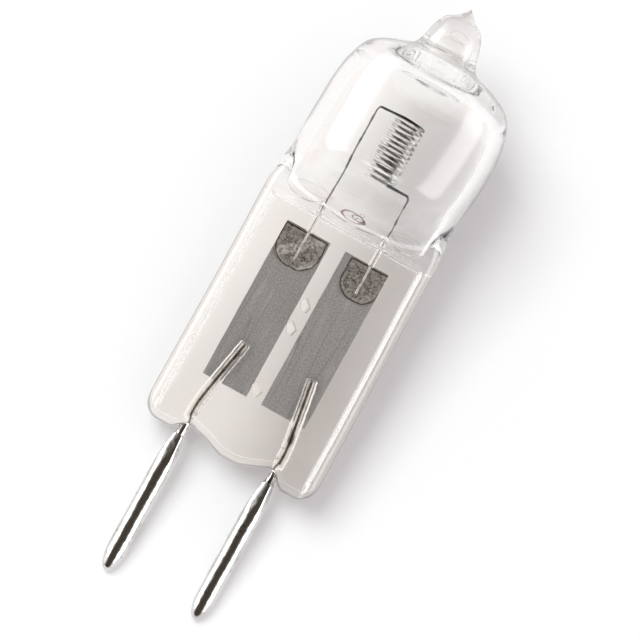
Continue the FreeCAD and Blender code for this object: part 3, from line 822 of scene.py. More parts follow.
@dataclass
class Foil:
    """Molybdenum foil with thinned edges, a little wavy, and creased round the lead's end."""

    side: Side
    middle: float
    weld: float
    width: float = 3.1
    thickness: float = 0.03
    feather: float = 0.35
    thinnest: float = 0.05
    bottom: float = 3.45
    top: float = 14.4
    depth: float = 0.315
    least: float = -0.01
    grid: tuple[int, int] = (64, 180)
    crease_height: float = 5.6
    crease_squash: float = 0.7
    crease_reach: float = 0.9
    crease_spread: float = 1.6
    creases: Waves = Waves(0.02, 3, 0.9, 2.5, 6)
    sharp: float = 50.0

    def mesh(self) -> Mesh:
        """Front and back of the foil joined round the rim, with a flat map in millimetres.

        Returns:
            The finished mesh.
        """
        share = np.linspace(-1, 1, self.grid[0])
        x, z = np.meshgrid(share * self.width / 2, np.linspace(self.bottom, self.top, self.grid[1]))
        waves = Waves(0.012, 11 + self.side.value, 1.2, 6.0, 7)
        bulge = waves.at(z + x * 0.8 * self.side.value)
        over, up = x - self.weld, z - self.crease_height
        away = np.hypot(over, up * self.crease_squash)
        crease = (np.exp(-(away / self.crease_reach) ** 2)
                  * self.creases.at(np.arctan2(up, over) * self.crease_spread))
        rim = (1 - np.abs(share)) * self.width / 2 / self.feather
        half = self.thickness / 2 * np.clip(rim, self.thinnest, 1)
        middle = self.depth + np.maximum(bulge + crease, self.least)
        front, back = (xyz(x + self.middle, middle + sign * half, z) for sign in (-1, 1))
        loop = np.concatenate([front, back[:, ::-1]], axis=1)
        poles = np.broadcast_to(loop.mean(axis=1, keepdims=True), loop.shape)
        closed = np.concatenate([poles[:1], loop, poles[-1:]])
        mesh = Surface(f"{self.side.word}_foil_sheet", closed, self.sharp).mesh()
        layer = mesh.uv_layers.new(name="flat")
        places = np.empty(len(mesh.vertices) * 3, np.float32)
        mesh.vertices.foreach_get("co", places)
        rows, origin = AXES.basis()
        flat = (places.reshape(-1, 3) - origin) / MM @ rows.T
        corners = np.empty(len(mesh.loops), np.int32)
        mesh.loops.foreach_get("vertex_index", corners)
        layer.data.foreach_set("uv", flat[corners][:, [0, 2]].astype(np.float32).ravel())
        return mesh


@dataclass
class Filament:
    """One tungsten wire: a leg up from each foil, and a close coil between them."""

    wire: float = 0.21
    wire_sides: int = 14
    leg_draw: float = 0.022
    draw_span: Span = (0.2, 1.0)
    coil_diameter: float = 2.2
    coil_middle: float = 0.03
    coil_bottom: float = 19.5
    pitch: float = 0.318
    turns: int = 12
    turn_steps: int = 40
    leg: float = 2.2
    leg_depth: float = 0.195
    leg_steps: tuple[int, int, int] = (90, 14, 24)
    foot: float = 12.35
    bend: float = 0.32
    kink: float = 0.12
    kink_span: Span = (16.2, 17.4)

    def path(self) -> tuple[Array, Array]:
        """Centre line from the foot of the left leg, round the coil, to the foot of the right leg.

        The coil's points are centre + radius * (cos a, sin a) while the height falls by the pitch
        each turn; each leg meets it along a tangent, and its corner is a quadratic curve.

        Returns:
            The stations, and at each a direction that is never along the wire.
        """
        radius = (self.coil_diameter - self.wire) / 2
        offsets = [sign * self.leg - self.coil_middle for sign in (-1, 1)]
        aims = [math.atan2(self.leg_depth, offset) for offset in offsets]
        high, low = (aim - side * math.acos(radius / math.hypot(offset, self.leg_depth))
                     for side, aim, offset in zip((-1, 1), aims, offsets))
        turns = self.turns + (low - high) / FULL_TURN % 1
        share = np.linspace(0, 1, int(turns * self.turn_steps))
        angle = high + FULL_TURN * turns * share
        coil = xyz(self.coil_middle + radius * np.cos(angle), radius * np.sin(angle),
                   self.coil_bottom + self.pitch * turns * (1 - share))
        left = self.leg_path(-self.leg, coil[0], 0.0)
        right = self.leg_path(self.leg, coil[-1], self.kink)
        path = np.vstack([left, coil[1:-1], right[::-1]])
        tilt = np.concatenate([np.linspace(0, 1, len(left)) ** 6, np.ones(len(coil) - 2),
                               np.linspace(1, 0, len(right)) ** 6])
        return path, xyz(0.0, 1 - tilt, tilt)

    def leg_path(self, across: float, meets: Array, kink: float) -> Array:
        """Stations of a leg from its foot, round its bend and up to the coil.

        Args:
            across: X of the leg.
            meets: Station of the coil that the leg's run ends on.
            kink: Sideways shift of the leg above its lower bend.

        Returns:
            Stations from the foot to the coil.
        """
        straight, curved, level = self.leg_steps
        corner = np.array([across + kink, self.leg_depth, meets[2]])
        ahead = (meets - corner) / np.linalg.norm(meets - corner)
        height = np.linspace(self.foot, meets[2] - self.bend, straight)
        rise = xyz(across + kink * smooth_step(height, *self.kink_span), self.leg_depth, height)
        start, end = rise[-1], corner + ahead * self.bend
        share = np.linspace(0, 1, curved)[1:, None]
        turn = start * (1 - share) ** 2 + corner * 2 * share * (1 - share) + end * share ** 2
        run = end + (meets - end) * np.linspace(0, 1, level)[1:-1, None]
        return np.vstack([rise, turn, run, meets])

    def surface(self) -> Surface:
        """Round wire along the path, drawn a little thinner in its legs."""
        path, aside = self.path()
        _, first = np.unique(np.round(path, 6), axis=0, return_index=True)
        keep = np.sort(first)
        path, aside = path[keep], aside[keep]
        radius = self.wire / 2 - self.leg_draw * (1 - smooth_step(aside[:, 2], *self.draw_span))
        radius[0] = radius[-1] = 0
        return tube("coil_wire", path, radius, self.wire_sides, aside)


# Finishes

class Graph:
    """Short way to place and join shader nodes in one tree."""

    def __init__(self, tree: bpy.types.NodeTree) -> None:
        """Work on this tree."""
        self.tree = tree

    def feed(self, node: Node, *values: object, **inputs: object) -> Node:
        """Fill or join inputs of a node.

        Args:
            node: The node.
            values: Values or output sockets for its first inputs.
            inputs: Value or output socket for each input, by name or as i0, i1 for its place.

        Returns:
            The same node.
        """
        for key, value in [*enumerate(values), *inputs.items()]:
            index = key
            if isinstance(key, str):
                index = int(key[1:]) if key[1:].isdigit() else key.replace("_", " ")
            if isinstance(value, Socket):
                self.tree.links.new(value, node.inputs[index])
            else:
                node.inputs[index].default_value = value
        return node

    def add(self, kind: str, settings: dict | None = None, *values: object,
            **inputs: object) -> Node:
        """Place a node, set its properties and feed its inputs.

        Args:
            kind: Node type without the ShaderNode prefix.
            settings: Properties of the node.
            values: First inputs, as for feed.
            inputs: Other inputs, as for feed.

        Returns:
            The new node.
        """
        node = self.tree.nodes.new(kind if kind.startswith("Node") else "ShaderNode" + kind)
        for key, value in (settings or {}).items():
            setattr(node, key, value)
        return self.feed(node, *values, **inputs)

    def math(self, operation: str, *values: object) -> Socket:
        """Result of a math node with this operation on numbers or sockets."""
        return self.add("Math", {"operation": operation}, *values).outputs[0]

    def vector(self, operation: str, *values: object) -> Node:
        """A vector math node with this operation on vectors or sockets."""
        return self.add("VectorMath", {"operation": operation}, *values)

    def product(self, first: Socket, *others: object) -> Socket:
        """Product of a socket and numbers or sockets."""
        for value in others:
            first = self.math("MULTIPLY", first, value)
        return first

    def length(self, first: Socket, second: Socket) -> Socket:
        """Length sqrt(a^2 + b^2)."""
        squares = [self.math("MULTIPLY", value, value) for value in (first, second)]
        return self.math("SQRT", self.math("ADD", *squares))

    def place(self) -> Socket:
        """Place on the object, in metres."""
        return self.add("TexCoord").outputs["Object"]

    def noise(self, place: Socket, scale: float, detail: float, roughness: float = 0.5,
              output: str = "Fac") -> Socket:
        """Value, or another output, of a noise texture read at a place."""
        return self.add("TexNoise", Vector=place, Scale=scale, Detail=detail,
                        Roughness=roughness).outputs[output]

    def ramp(self, value: Socket, low: float, high: float,
             start: float = 0.0, end: float = 1.0) -> Socket:
        """Smooth change from start to end while value goes from low to high.

        Args:
            value: Socket to read.
            low: Value where the change starts.
            high: Value where it ends.
            start: Result at low.
            end: Result at high.

        Returns:
            The output socket.
        """
        return self.add("MapRange", {"interpolation_type": "SMOOTHSTEP"},
                        value, low, high, start, end).outputs[0]

    def band(self, value: Socket, rise: Span, fall: Span) -> Socket:
        """Product of two ramps: 1 between the rise and the fall, 0 outside them.

        Args:
            value: Socket to read.
            rise: Values where the first ramp is 0 and 1.
            fall: Values where the second ramp is 0 and 1.

        Returns:
            The output socket.
        """
        return self.product(self.ramp(value, *rise), self.ramp(value, *fall))

    def mix(self, factor: object, first: object, second: object) -> Socket:
        """Blend of two colours or sockets, with factor as the share of the second."""
        return self.add("Mix", {"data_type": "RGBA"}, i0=factor, i6=first, i7=second).outputs[2]


def grey(level: float, warmth: float = 0.0) -> Colour:
    """Neutral colour that leans to red by warmth."""
    return (level * (1 + warmth), level, level * (1 - warmth), 1.0)


def grain_group() -> bpy.types.NodeTree:
    """Group that gives a fine metal grain: a value about 0.5 and a normal.

    Returns:
        The node group, made once.
    """
    known = bpy.data.node_groups.get("metal_grain")
    if known:
        return known
    tree = bpy.data.node_groups.new("metal_grain", "ShaderNodeTree")
    for name, kind, way in (("Place", "NodeSocketVector", "INPUT"),
                            ("Scale", "NodeSocketFloat", "INPUT"),
                            ("Depth", "NodeSocketFloat", "INPUT"),
                            ("Grain", "NodeSocketFloat", "OUTPUT"),
                            ("Normal", "NodeSocketVector", "OUTPUT")):
        tree.interface.new_socket(name=name, in_out=way, socket_type=kind)
    graph = Graph(tree)
    entry = graph.add("NodeGroupInput").outputs
    noise = graph.noise(entry["Place"], entry["Scale"], 4.0, 0.65)
    bump = graph.add("Bump", Height=noise, Distance=entry["Depth"], Strength=1.0)
    graph.add("NodeGroupOutput", Grain=noise, Normal=bump.outputs["Normal"])
    return tree


@dataclass(frozen=True)
class Finish:
    """A material with one Principled shader."""

    name: str

    def start(self) -> tuple[Material, Graph, Node]:
        """Make the empty material.

        Returns:
            The material, its graph and its Principled node.
        """
        material = bpy.data.materials.new(self.name)
        material.use_nodes = True
        material.node_tree.nodes.clear()
        graph = Graph(material.node_tree)
        shader = graph.add("BsdfPrincipled")
        graph.add("OutputMaterial", Surface=shader.outputs[0])
        return material, graph, shader

    @staticmethod
    def lamp_place(graph: Graph, place: Socket) -> list[Socket]:
        """Split a place in the frame into lamp X, Y and Z in millimetres.

        Args:
            graph: Tree to add to.
            place: Place in the frame, in metres.

        Returns:
            The three sockets.
        """
        rows, origin = AXES.basis()
        moved = graph.vector("SUBTRACT", place, tuple(origin)).outputs[0]
        return [graph.vector("DOT_PRODUCT", moved, tuple(row / MM)).outputs["Value"]
                for row in rows]


@dataclass(frozen=True)
class QuartzFinish(Finish):
    """Clear fused quartz with faint flow marks left by pressing and blowing.

    Each painted refraction ring is X, Z, half width, half height and strength: a dark ring on the
    front, painted to stand in for the refracted outline of the gas space's floor, dome top or bore
    end. The rim colour is painted shade that darkens the outside where it is seen edge on. The
    blown tint, the tip's tint and the painted rim shade's threshold change between two heights.
    """

    pressed_tint: Colour = (0.985, 0.958, 0.925, 1.0)
    blown_tint: Colour = (0.99, 0.985, 0.978, 1.0)
    blown_heights: Span = (14.8, 17.0)
    tip_tint: Colour = (0.89, 0.866, 0.858, 1.0)
    tip_heights: Span = (28.2, 29.8)
    flush: Colour = (0.985, 0.93, 0.915, 1.0)
    flush_scale: float = 588.0
    flush_span: Span = (0.58, 0.7)
    # Painted shade: the rim colour darkens the outside where the glass is seen edge on, less in the
    # calm band of the shoulder.
    rim: Colour = (0.13, 0.12, 0.125, 1.0)
    rim_heights: Span = (15.5, 18.0)
    rim_starts: Span = (0.56, 0.68)
    rim_reach: float = 0.19
    calm_rise: Span = (15.2, 16.4)
    calm_fall: Span = (21.0, 19.6)
    calm: float = 0.1
    # Painted refraction: dark rings on the front that stand in for the refracted outlines of the
    # inner surfaces.
    stain: Colour = (0.1, 0.03, 0.028, 1.0)
    stain_scale: float = 1680.0
    stain_rough: float = 0.5
    stain_rise: Span = (0.72, 0.9)
    stain_fall: Span = (1.08, 0.92)
    rings: tuple[tuple[float, float, float, float, float], ...] = (
        (-0.26, 16.42, 0.86, 0.3, 1.0), (0.08, 16.5, 0.42, 0.17, 1.0),
        (0.2, 16.42, 0.26, 0.1, 1.0), (0.22, 16.78, 0.16, 0.1, 1.0),
        (-3.15, 16.8, 1.25, 0.3, 0.2), (3.4, 16.7, 1.2, 0.38, 0.22),
        (3.2, 16.6, 0.8, 0.22, 0.2), (-1.5, 26.35, 0.5, 0.2, 0.3), (0.2, 26.3, 1.1, 0.14, 0.25),
        (1.6, 26.2, 0.45, 0.16, 0.25), (-3.6, 26.9, 0.3, 0.25, 0.2), (0.15, 29.4, 0.7, 0.35, 0.22))
    index: float = 1.458
    flow_scale: float = 420.0
    flow_depth: float = 0.00001
    flow_strength: float = 0.6

    def make(self) -> Material:
        """Glass with a painted shade rim where it is seen edge on, painted refraction rings and a
        low flowing bump.
        """
        material, graph, shader = self.start()
        place = graph.place()
        across, depth, up = self.lamp_place(graph, place)
        blush = graph.noise(place, self.flush_scale, 3.0)
        clear = graph.mix(graph.ramp(up, *self.blown_heights), self.pressed_tint, self.blown_tint)
        clear = graph.mix(graph.ramp(up, *self.tip_heights), clear, self.tip_tint)
        clear = graph.mix(graph.ramp(blush, *self.flush_span), clear, self.flush)
        outside = graph.add("Attribute", {"attribute_name": "outside"}).outputs["Fac"]
        leaving = graph.add("NewGeometry").outputs["Backfacing"]
        outer = graph.product(outside, graph.math("SUBTRACT", 1.0, leaving))
        front = graph.product(outer, graph.math("LESS_THAN", depth, 0.0))
        rough = graph.noise(place, self.stain_scale, 2.0)
        rough = graph.product(graph.math("SUBTRACT", rough, 0.5), self.stain_rough)
        # Painted refraction rings on the front face, at the gas space's floor, dome top and bore
        # end.
        for middle, height, half_width, half_height, strength in self.rings:
            reach = graph.length(
                graph.math("DIVIDE", graph.math("SUBTRACT", across, middle), half_width),
                graph.math("DIVIDE", graph.math("SUBTRACT", up, height), half_height))
            ring = graph.band(graph.math("ADD", reach, rough), self.stain_rise, self.stain_fall)
            clear = graph.mix(graph.product(ring, front, strength), clear, self.stain)
        # Painted shade rim: the outside darkens towards the rim colour where it is seen edge on.
        calm = graph.product(graph.band(up, self.calm_rise, self.calm_fall), self.calm)
        least = graph.math("ADD", graph.ramp(up, *self.rim_heights, *self.rim_starts), calm)
        facing = graph.add("LayerWeight", Blend=0.5).outputs["Facing"]
        edge = graph.ramp(facing, least, graph.math("ADD", least, self.rim_reach))
        flow = graph.noise(place, self.flow_scale, 2.0)
        bump = graph.add("Bump", Height=flow, Distance=self.flow_depth,
                         Strength=self.flow_strength)
        graph.feed(shader, Base_Color=graph.mix(graph.product(edge, outer), clear, self.rim),
                   Transmission_Weight=1.0, Roughness=0.0, IOR=self.index,
                   Normal=bump.outputs["Normal"])
        return material


@dataclass(frozen=True)
class FoilFinish(Finish):
    """Etched molybdenum, with the dark mottled patch of the unsealed pocket.

    Spans named after the patch are distances from its edge, less than 0 inside it.
    """

    patch_middle: float = 0.0
    patch_half: float = 1.5
    patch_low: float = 11.85
    patch_corner: float = 1.0
    patch_top: float = 14.27
    patch_wobble: float = 0.16
    patch_fill: Span = (0.03, -0.03)
    # Painted shade line round the patch's edge, and the pale rim inside it.
    patch_line: tuple[Span, Span] = ((0.04, 0.015), (-0.055, -0.025))
    patch_rim: tuple[Span, Span] = ((-0.07, -0.12), (-0.24, -0.16))
    grain_scale: float = 11.0
    grain_depth: float = 0.000012
    grain_span: Span = (0.3, 0.7)
    streak_span: Span = (0.5, 0.75)
    # Painted shade: dark fold lines low on the foil.
    fold_span: Span = (0.018, 0.006)
    fold_heights: Span = (12.0, 8.5)
    mottle_span: Span = (0.34, 0.66)
    # Painted shade: dark lines between the patch's bent cells.
    crack_span: Span = (0.055, 0.012)
    crack_bend: Place = (0.9, 0.9, 0.9)

    def patch_edge(self, graph: Graph, flat: Socket) -> tuple[Socket, Socket]:
        """Distance from the patch's edge, and the height on the foil.

        The patch is a rounded box with a straight top. Its distance is the length of the part
        of (|x| - half + corner, low + corner - z) above 0, less the corner.

        Args:
            graph: Tree to add to.
            flat: Place on the flat map.

        Returns:
            The two sockets.
        """
        split = graph.add("SeparateXYZ", Vector=flat)
        across, height = split.outputs[:2]
        out = graph.math("ADD", graph.math("ABSOLUTE", graph.math(
            "SUBTRACT", across, self.patch_middle)), self.patch_corner - self.patch_half)
        down = graph.math("SUBTRACT", self.patch_low + self.patch_corner, height)
        reach = graph.length(graph.math("MAXIMUM", out, 0.0), graph.math("MAXIMUM", down, 0.0))
        edge = graph.math("MAXIMUM", graph.math("SUBTRACT", reach, self.patch_corner),
                          graph.math("SUBTRACT", height, self.patch_top))
        wobble = graph.math("SUBTRACT", graph.noise(flat, 1.6, 2.0), 0.5)
        return graph.math("ADD", edge, graph.product(wobble, self.patch_wobble)), height

    def sheet(self, graph: Graph, flat: Socket, height: Socket, grain: Socket) -> Socket:
        """Colour of the clean foil: grain, light streaks, and dark lines along it that are painted
        shade standing in for its creases.

        Args:
            graph: Tree to add to.
            flat: Place on the flat map.
            height: Height on the foil.
            grain: Value of the grain.

        Returns:
            The colour.
        """
        long_place, fold_place = (graph.vector("MULTIPLY", flat, stretch).outputs[0]
                                  for stretch in ((3.0, 0.5, 1.0), (1.5, 0.07, 1.0)))
        streak = graph.noise(long_place, 0.9, 3.0)
        fold_shade = graph.noise(fold_place, 1.0, 0.0)
        # Painted shade: thin dark lines along the foil stand in for the shade of its creases.
        fold_shade = graph.math("ABSOLUTE", graph.math("SUBTRACT", fold_shade, 0.5))
        fold_shade = graph.product(graph.ramp(fold_shade, *self.fold_span),
                             graph.ramp(height, *self.fold_heights), 0.45)
        metal = graph.mix(graph.ramp(grain, *self.grain_span), grey(0.33, 0.015), grey(0.66, 0.015))
        metal = graph.mix(graph.ramp(streak, *self.streak_span, 0.0, 0.3), metal, grey(0.78, 0.01))
        return graph.mix(fold_shade, metal, grey(0.24, 0.02))

    def cracked(self, graph: Graph, flat: Socket) -> Socket:
        """Colour of the patch: mottled, with dark lines between bent cells that are painted shade
        standing in for its wrinkles.

        Args:
            graph: Tree to add to.
            flat: Place on the flat map.

        Returns:
            The colour.
        """
        mottle = graph.noise(flat, 4.2, 4.0, 0.65)
        shift = graph.noise(flat, 1.7, 3.0, output="Color")
        bent = graph.vector("MULTIPLY_ADD", shift, self.crack_bend, flat).outputs[0]
        cell = graph.add("TexVoronoi", {"feature": "DISTANCE_TO_EDGE"}, Vector=bent, Scale=1.9)
        # Painted shade: dark lines between the bent cells stand in for the shade of the patch's
        # wrinkles.
        wrinkle_shade = graph.product(graph.ramp(cell.outputs["Distance"], *self.crack_span), 0.85)
        dark = graph.mix(graph.ramp(mottle, *self.mottle_span), grey(0.52, 0.02), grey(0.99, 0.0))
        return graph.mix(wrinkle_shade, dark, grey(0.05, 0.1))

    def make(self) -> Material:
        """Grey metal with fine grain, and a mottled patch with painted wrinkle shade, a painted
        shade line round its edge and a pale rim.
        """
        material, graph, shader = self.start()
        flat = graph.add("UVMap", {"uv_map": "flat"}).outputs[0]
        edge, height = self.patch_edge(graph, flat)
        grain = graph.add("Group", {"node_tree": grain_group()}, Place=flat,
                          Scale=self.grain_scale, Depth=self.grain_depth)
        value = grain.outputs["Grain"]
        inside = graph.ramp(edge, *self.patch_fill)
        colour = graph.mix(inside, self.sheet(graph, flat, height, value),
                           self.cracked(graph, flat))
        rim = graph.product(graph.band(edge, *self.patch_rim), 0.6)
        # Painted shade: a near-black line along the patch's edge stands in for the shaded edge of
        # the pocket.
        shade_line = graph.product(graph.band(edge, *self.patch_line), 0.95)
        colour = graph.mix(shade_line, graph.mix(rim, colour, grey(0.85, 0.03)), grey(0.008))
        graph.feed(shader, Base_Color=colour, Metallic=graph.ramp(inside, 0.0, 1.0, 0.6, 0.2),
                   Roughness=graph.ramp(value, *self.grain_span, 0.5, 0.66),
                   Normal=grain.outputs["Normal"])
        return material


@dataclass(frozen=True)
class MetalFinish(Finish):
    """Bright metal with fine marks; dull and clean are its two colours.

    Each darker box is left, right, low and high in lamp axes.
    """

    dull: Colour
    clean: Colour
    roughness: Span
    scale: float
    depth: float
    scratches: float = 0.0
    dents: float = 0.0
    dent_scale: float = 900.0
    tarnish: tuple[Box, ...] = ()
    tarnish_edges: Span = (0.15, 0.08)

    def make(self) -> Material:
        """Metal with grain and dull spots, and with scratches, darker boxes and dents if asked for.
        """
        material, graph, shader = self.start()
        place = graph.place()
        grain = graph.add("Group", {"node_tree": grain_group()}, Place=place, Scale=self.scale,
                          Depth=self.depth)
        spots = graph.noise(place, self.scale * 0.22, 3.0)
        colour = graph.mix(graph.ramp(spots, 0.45, 0.7), self.clean, self.dull)
        if self.scratches:
            stretched = graph.add("Mapping", Vector=place, Scale=(4200.0, 900.0, 1500.0),
                                  Rotation=(0.2, 0.5, 0.4)).outputs[0]
            marks = graph.ramp(graph.noise(stretched, 1.0, 2.0), 0.62, 0.72)
            colour = graph.mix(graph.product(marks, self.scratches), colour, grey(0.2, 0.05))
        # Darker boxes in lamp axes; on the tungsten they lie where the legs run into the coil.
        if self.tarnish:
            across, _, up = self.lamp_place(graph, place)
            beside, above = self.tarnish_edges
            for left, right, low, high in self.tarnish:
                wide = graph.band(across, (left - beside, left), (right + beside, right))
                tall = graph.band(up, (low - above, low), (high + above, high))
                colour = graph.mix(graph.product(wide, tall), colour, grey(0.03, 0.1))
        normal = grain.outputs["Normal"]
        if self.dents:
            uneven = graph.noise(place, self.dent_scale, 2.0)
            bump = graph.add("Bump", Height=uneven, Distance=self.dents, Normal=normal)
            normal = bump.outputs["Normal"]
        graph.feed(shader, Base_Color=colour, Metallic=1.0, Normal=normal,
                   Roughness=graph.ramp(spots, 0.35, 0.75, *self.roughness))
        return material


# Stage

@dataclass(frozen=True)
class SoftBox:
    """A soft box that looks at the lamp.

    The azimuth goes round from the picture's right edge, counter-clockwise in the picture, and
    the elevation is above the table, both in degrees. A box that shows is only mirrored by
    glass and metal, with soft edges; another only lights. A named piece is the only one lit.
    """

    name: str
    azimuth: float
    elevation: float
    away: float
    size: Span
    watts: float
    shows: bool = True
    colour: Place = (1.0, 1.0, 1.0)
    piece: str = ""
    soft_edge: float = 0.3

    def place(self, right: Vector) -> None:
        """Place the box.

        Args:
            right: Direction along the table to the picture's right edge.
        """
        up = Vector((0, 0, 1))
        turn, rise = math.radians(self.azimuth), math.radians(self.elevation)
        way = right * math.cos(turn) + up.cross(right) * math.sin(turn)
        way = way * math.cos(rise) + up * math.sin(rise)
        data = bpy.data.lights.new(self.name, "AREA")
        data.shape, (data.size, data.size_y) = "RECTANGLE", self.size
        data.energy, data.color = self.watts, self.colour
        if self.shows:
            data.use_nodes = True
            graph = Graph(data.node_tree)
            spot = graph.add("NewGeometry").outputs["Parametric"]
            rise, fall = (0.0, self.soft_edge), (1.0, 1.0 - self.soft_edge)
            sides = [graph.band(value, rise, fall)
                     for value in graph.add("SeparateXYZ", Vector=spot).outputs[:2]]
            glow = next(node for node in data.node_tree.nodes if node.type == "EMISSION")
            graph.feed(glow, Strength=graph.product(*sides))
        item = bpy.data.objects.new(self.name, data)
        item.visible_glossy, item.visible_diffuse = self.shows, not self.shows
        item.visible_transmission = False
        facing = way.to_track_quat("Z", "Y").to_matrix().to_4x4()
        item.matrix_world = Matrix.Translation(way * self.away) @ facing
        bpy.context.scene.collection.objects.link(item)
        if self.piece:
            receivers = bpy.data.collections.new(f"{self.name}_pieces")
            receivers.objects.link(bpy.data.objects[self.piece])
            item.light_linking.receiver_collection = receivers


@dataclass(frozen=True)
class Studio:
    """Pale table, soft boxes round the lamp and the camera over the lamp's face."""

    view_middle: Place = (1.05, 0.0, 9.88)
    view_width: float = 40.06
    lens: float = 170.0
    sensor: float = 36.0
    lean: float = 28.9
    table_rings: tuple[float, ...] = (0.0, 0.05, 0.1, 0.2, 0.4)
    table_sides: int = 96
    table_colours: tuple[Colour, Colour] = ((0.93, 0.925, 0.93, 1.0),
                                            (0.9207, 0.91575, 0.9207, 1.0))
    # Painted light: the white glow that glass and metal see in the table, and its share from the
    # lamp's left to its right.
    seen_through: Colour = (1.0, 0.98, 0.965, 1.0)
    pale_across: Span = (-2.5, 4.5)
    pale_shares: Span = (0.75, 0.2)
    ambient: Colour = (0.72, 0.688, 0.695, 1.0)
    bounces: tuple[int, int, int] = (28, 20, 24)
    boxes: tuple[SoftBox, ...] = (
        SoftBox("key_box", 134.0, 62.0, 0.6, (0.32, 0.32), 1.88, False, (0.93, 1.0, 0.985)),
        SoftBox("left_box", 150.0, 17.0, 0.5, (0.9, 0.44), 7.0),
        SoftBox("right_box", 330.0, 22.0, 0.5, (0.8, 0.38), 5.2),
        SoftBox("low_box", 241.0, 38.0, 0.5, (0.6, 0.2), 1.9, piece="bulb_glass"))

    def camera(self) -> Vector:
        """Place the camera square to the lamp's face, with the lamp leaning to the right.

        Returns:
            Direction along the table to the picture's right edge.
        """
        data = bpy.data.cameras.new("camera")
        data.lens, data.sensor_width = self.lens, self.sensor
        data.clip_start, data.clip_end = 0.01, 10.0
        item = bpy.data.objects.new("camera", data)
        bpy.context.scene.collection.objects.link(item)
        lean = math.radians(self.lean)
        right = AXES.turn((math.cos(lean), 0, math.sin(lean)))
        up = AXES.turn((-math.sin(lean), 0, math.cos(lean)))
        back = right.cross(up)
        away = self.view_width * MM * self.lens / self.sensor
        target = Vector(AXES.place(np.array(self.view_middle)))
        turn = Matrix((right, up, back)).transposed().to_4x4()
        item.matrix_world = Matrix.Translation(target + back * away) @ turn
        bpy.context.scene.camera = item
        return Vector((right.x, right.y, 0)).normalized()

    def table(self) -> None:
        """Round pale table top with a faint unevenness in its finish.

        Painted light: rays through the glass and mirror rays see a share of it as a plain white
        glow, more on the lamp's left than on its right, so that glass and metal show a painted
        gradient of light and shade.
        """
        turn = np.linspace(0, FULL_TURN, self.table_sides, endpoint=False)
        reach = np.array(self.table_rings)[:, None]
        grid = Surface("table_top", xyz(reach * np.cos(turn), reach * np.sin(turn), 0.0))
        mesh = bpy.data.meshes.new(grid.name)
        mesh.from_pydata(grid.points.reshape(-1, 3).tolist(), [], grid.faces().tolist())
        material, graph, shader = Finish("table_white").start()
        place = graph.place()
        noise = graph.noise(place, 900.0, 3.0)
        graph.feed(shader, Base_Color=graph.mix(noise, *self.table_colours), Roughness=0.9,
                   Specular_IOR_Level=0.1)
        path = graph.add("LightPath").outputs
        through = graph.math("MAXIMUM", path["Is Transmission Ray"], path["Is Glossy Ray"])
        # Painted light: the table glows white for rays through the glass and mirror rays, more on
        # the lamp's left.
        painted_glow = graph.add("Emission", Color=self.seen_through, Strength=1.0)
        across = Finish.lamp_place(graph, place)[0]
        share = graph.product(through, graph.ramp(across, *self.pale_across, *self.pale_shares))
        mixed = graph.add("MixShader", None, share, shader.outputs[0], painted_glow.outputs[0])
        output = next(node for node in graph.tree.nodes if node.type == "OUTPUT_MATERIAL")
        graph.feed(output, Surface=mixed.outputs[0])
        mesh.materials.append(material)
        new_object("table_top", mesh)

    def world(self) -> None:
        """Pale room with a dark band overhead that only mirror images in metal show.

        They are told by the faces of glass that a path crosses: none for metal outside the
        glass, four for metal in a hollow of it, and two for metal bedded in it, which shows
        the ceiling alone. Matt surfaces are lit by the ambient colour.
        """
        scene = bpy.context.scene
        scene.world = bpy.data.worlds.new("room")
        scene.world.use_nodes = True
        scene.world.node_tree.nodes.clear()
        graph = Graph(scene.world.node_tree)
        way = graph.add("TexCoord").outputs["Generated"]
        height = graph.add("SeparateXYZ", Vector=way).outputs[2]
        beside = graph.vector("DOT_PRODUCT", way, AXES.turn((1, 0, 0))).outputs["Value"]
        beside = graph.math("ABSOLUTE", beside)
        path = graph.add("LightPath").outputs
        none, two, four = (graph.math("COMPARE", path["Transmission Depth"], count, 0.5)
                           for count in (0.0, 2.0, 4.0))
        once = graph.math("COMPARE", path["Glossy Depth"], 1.0, 0.5)
        bare = graph.product(none, graph.math("GREATER_THAN", path["Glossy Depth"], 0.5))
        overhead = graph.product(two, once, graph.ramp(height, 0.8, 0.95))
        narrow = graph.product(graph.ramp(beside, 0.8, 0.5), graph.math("ADD", bare, overhead))
        wide = graph.product(graph.ramp(beside, 0.97, 0.76), four, once)
        dark = graph.product(graph.math("ADD", narrow, wide), graph.ramp(height, 0.0, 0.2))
        lit = graph.math("GREATER_THAN", path["Diffuse Depth"], 0.5)
        room = graph.mix(lit, graph.mix(dark, grey(0.96), grey(0.055, 0.25)), self.ambient)
        graph.add("OutputWorld", Surface=graph.add("Background", Color=room).outputs[0])

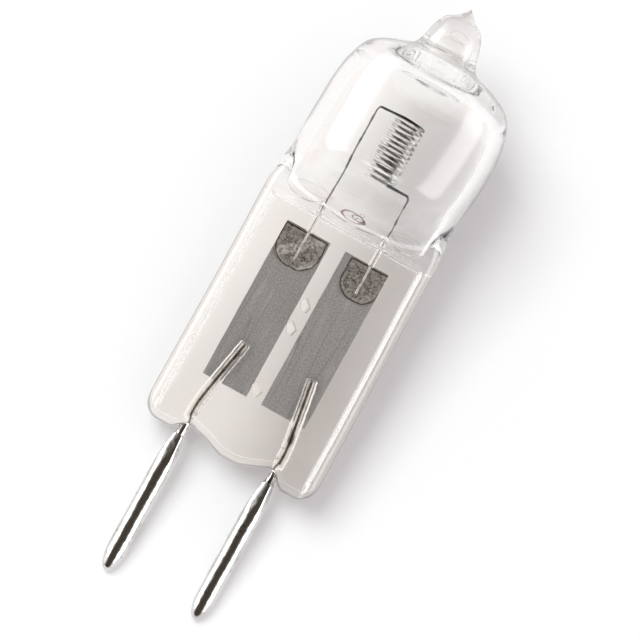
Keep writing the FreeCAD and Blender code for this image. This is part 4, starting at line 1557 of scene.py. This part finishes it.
    def build(self) -> None:
        """Set the whole stage."""
        scene = bpy.context.scene
        scene.view_settings.view_transform = "Standard"
        cycles = scene.cycles
        cycles.max_bounces, cycles.glossy_bounces, cycles.transmission_bounces = self.bounces
        right = self.camera()
        self.table()
        self.world()
        for box in self.boxes:
            box.place(right)


def main() -> None:
    """Build the lamp piece by piece, dress it and set the stage."""
    logging.basicConfig(level=logging.INFO, format="%(name)s %(message)s")
    nickel = MetalFinish("bright_nickel", grey(0.42, 0.03), grey(0.72, 0.01), (0.1, 0.24),
                         1800.0, 0.000003, scratches=0.5, dents=0.00008).make()
    lead_metal = MetalFinish("lead_metal", grey(0.1, 0.1), grey(0.8, 0.02), (0.06, 0.2),
                             2600.0, 0.000005, dents=0.00011).make()
    # The tungsten is darker in two boxes where its legs run into the coil.
    tungsten = MetalFinish("tungsten", grey(0.22, 0.05), grey(0.86, 0.01), (0.06, 0.18),
                           6000.0, 0.000002,
                           tarnish=((-2.1, 0.9, 23.35, 24.2), (0.7, 2.15, 19.3, 19.62))).make()
    leads = {Side.LEFT: Lead(Side.LEFT, -2.3), Side.RIGHT: Lead(Side.RIGHT, 2.45)}
    foils = {Side.LEFT: Foil(Side.LEFT, -2.22, 0.0), Side.RIGHT: Foil(Side.RIGHT, 1.93, 0.45)}
    patches = {Side.LEFT: (-2.27, 1.46, 11.85, 1.25), Side.RIGHT: (2.2, 1.3, 11.9, 1.15)}
    for side in Side:
        finish = FoilFinish(f"{side.word}_molybdenum", *patches[side]).make()
        for name, mesh, node, slot, material in (
                ("lead", leads[side].surface().mesh(), "outer_lead", Slot.NICKEL, lead_metal),
                ("pin", Pin(side).surface().mesh(), "contact_pin", Slot.NICKEL, nickel),
                ("foil_sheet", foils[side].mesh(), "foil", Slot.MOLYBDENUM, finish)):
            dress(new_object(f"{side.word}_{name}", mesh), f"{side.word}_{node}", material)
    dress(new_object("coil_wire", Filament().surface().mesh()), "filament", tungsten)
    glass = Envelope().build({side: lead.path() for side, lead in leads.items()})
    dress(glass, "quartz_envelope", QuartzFinish("clear_quartz").make())
    Studio().build()


if __name__ == "__main__":
    main()
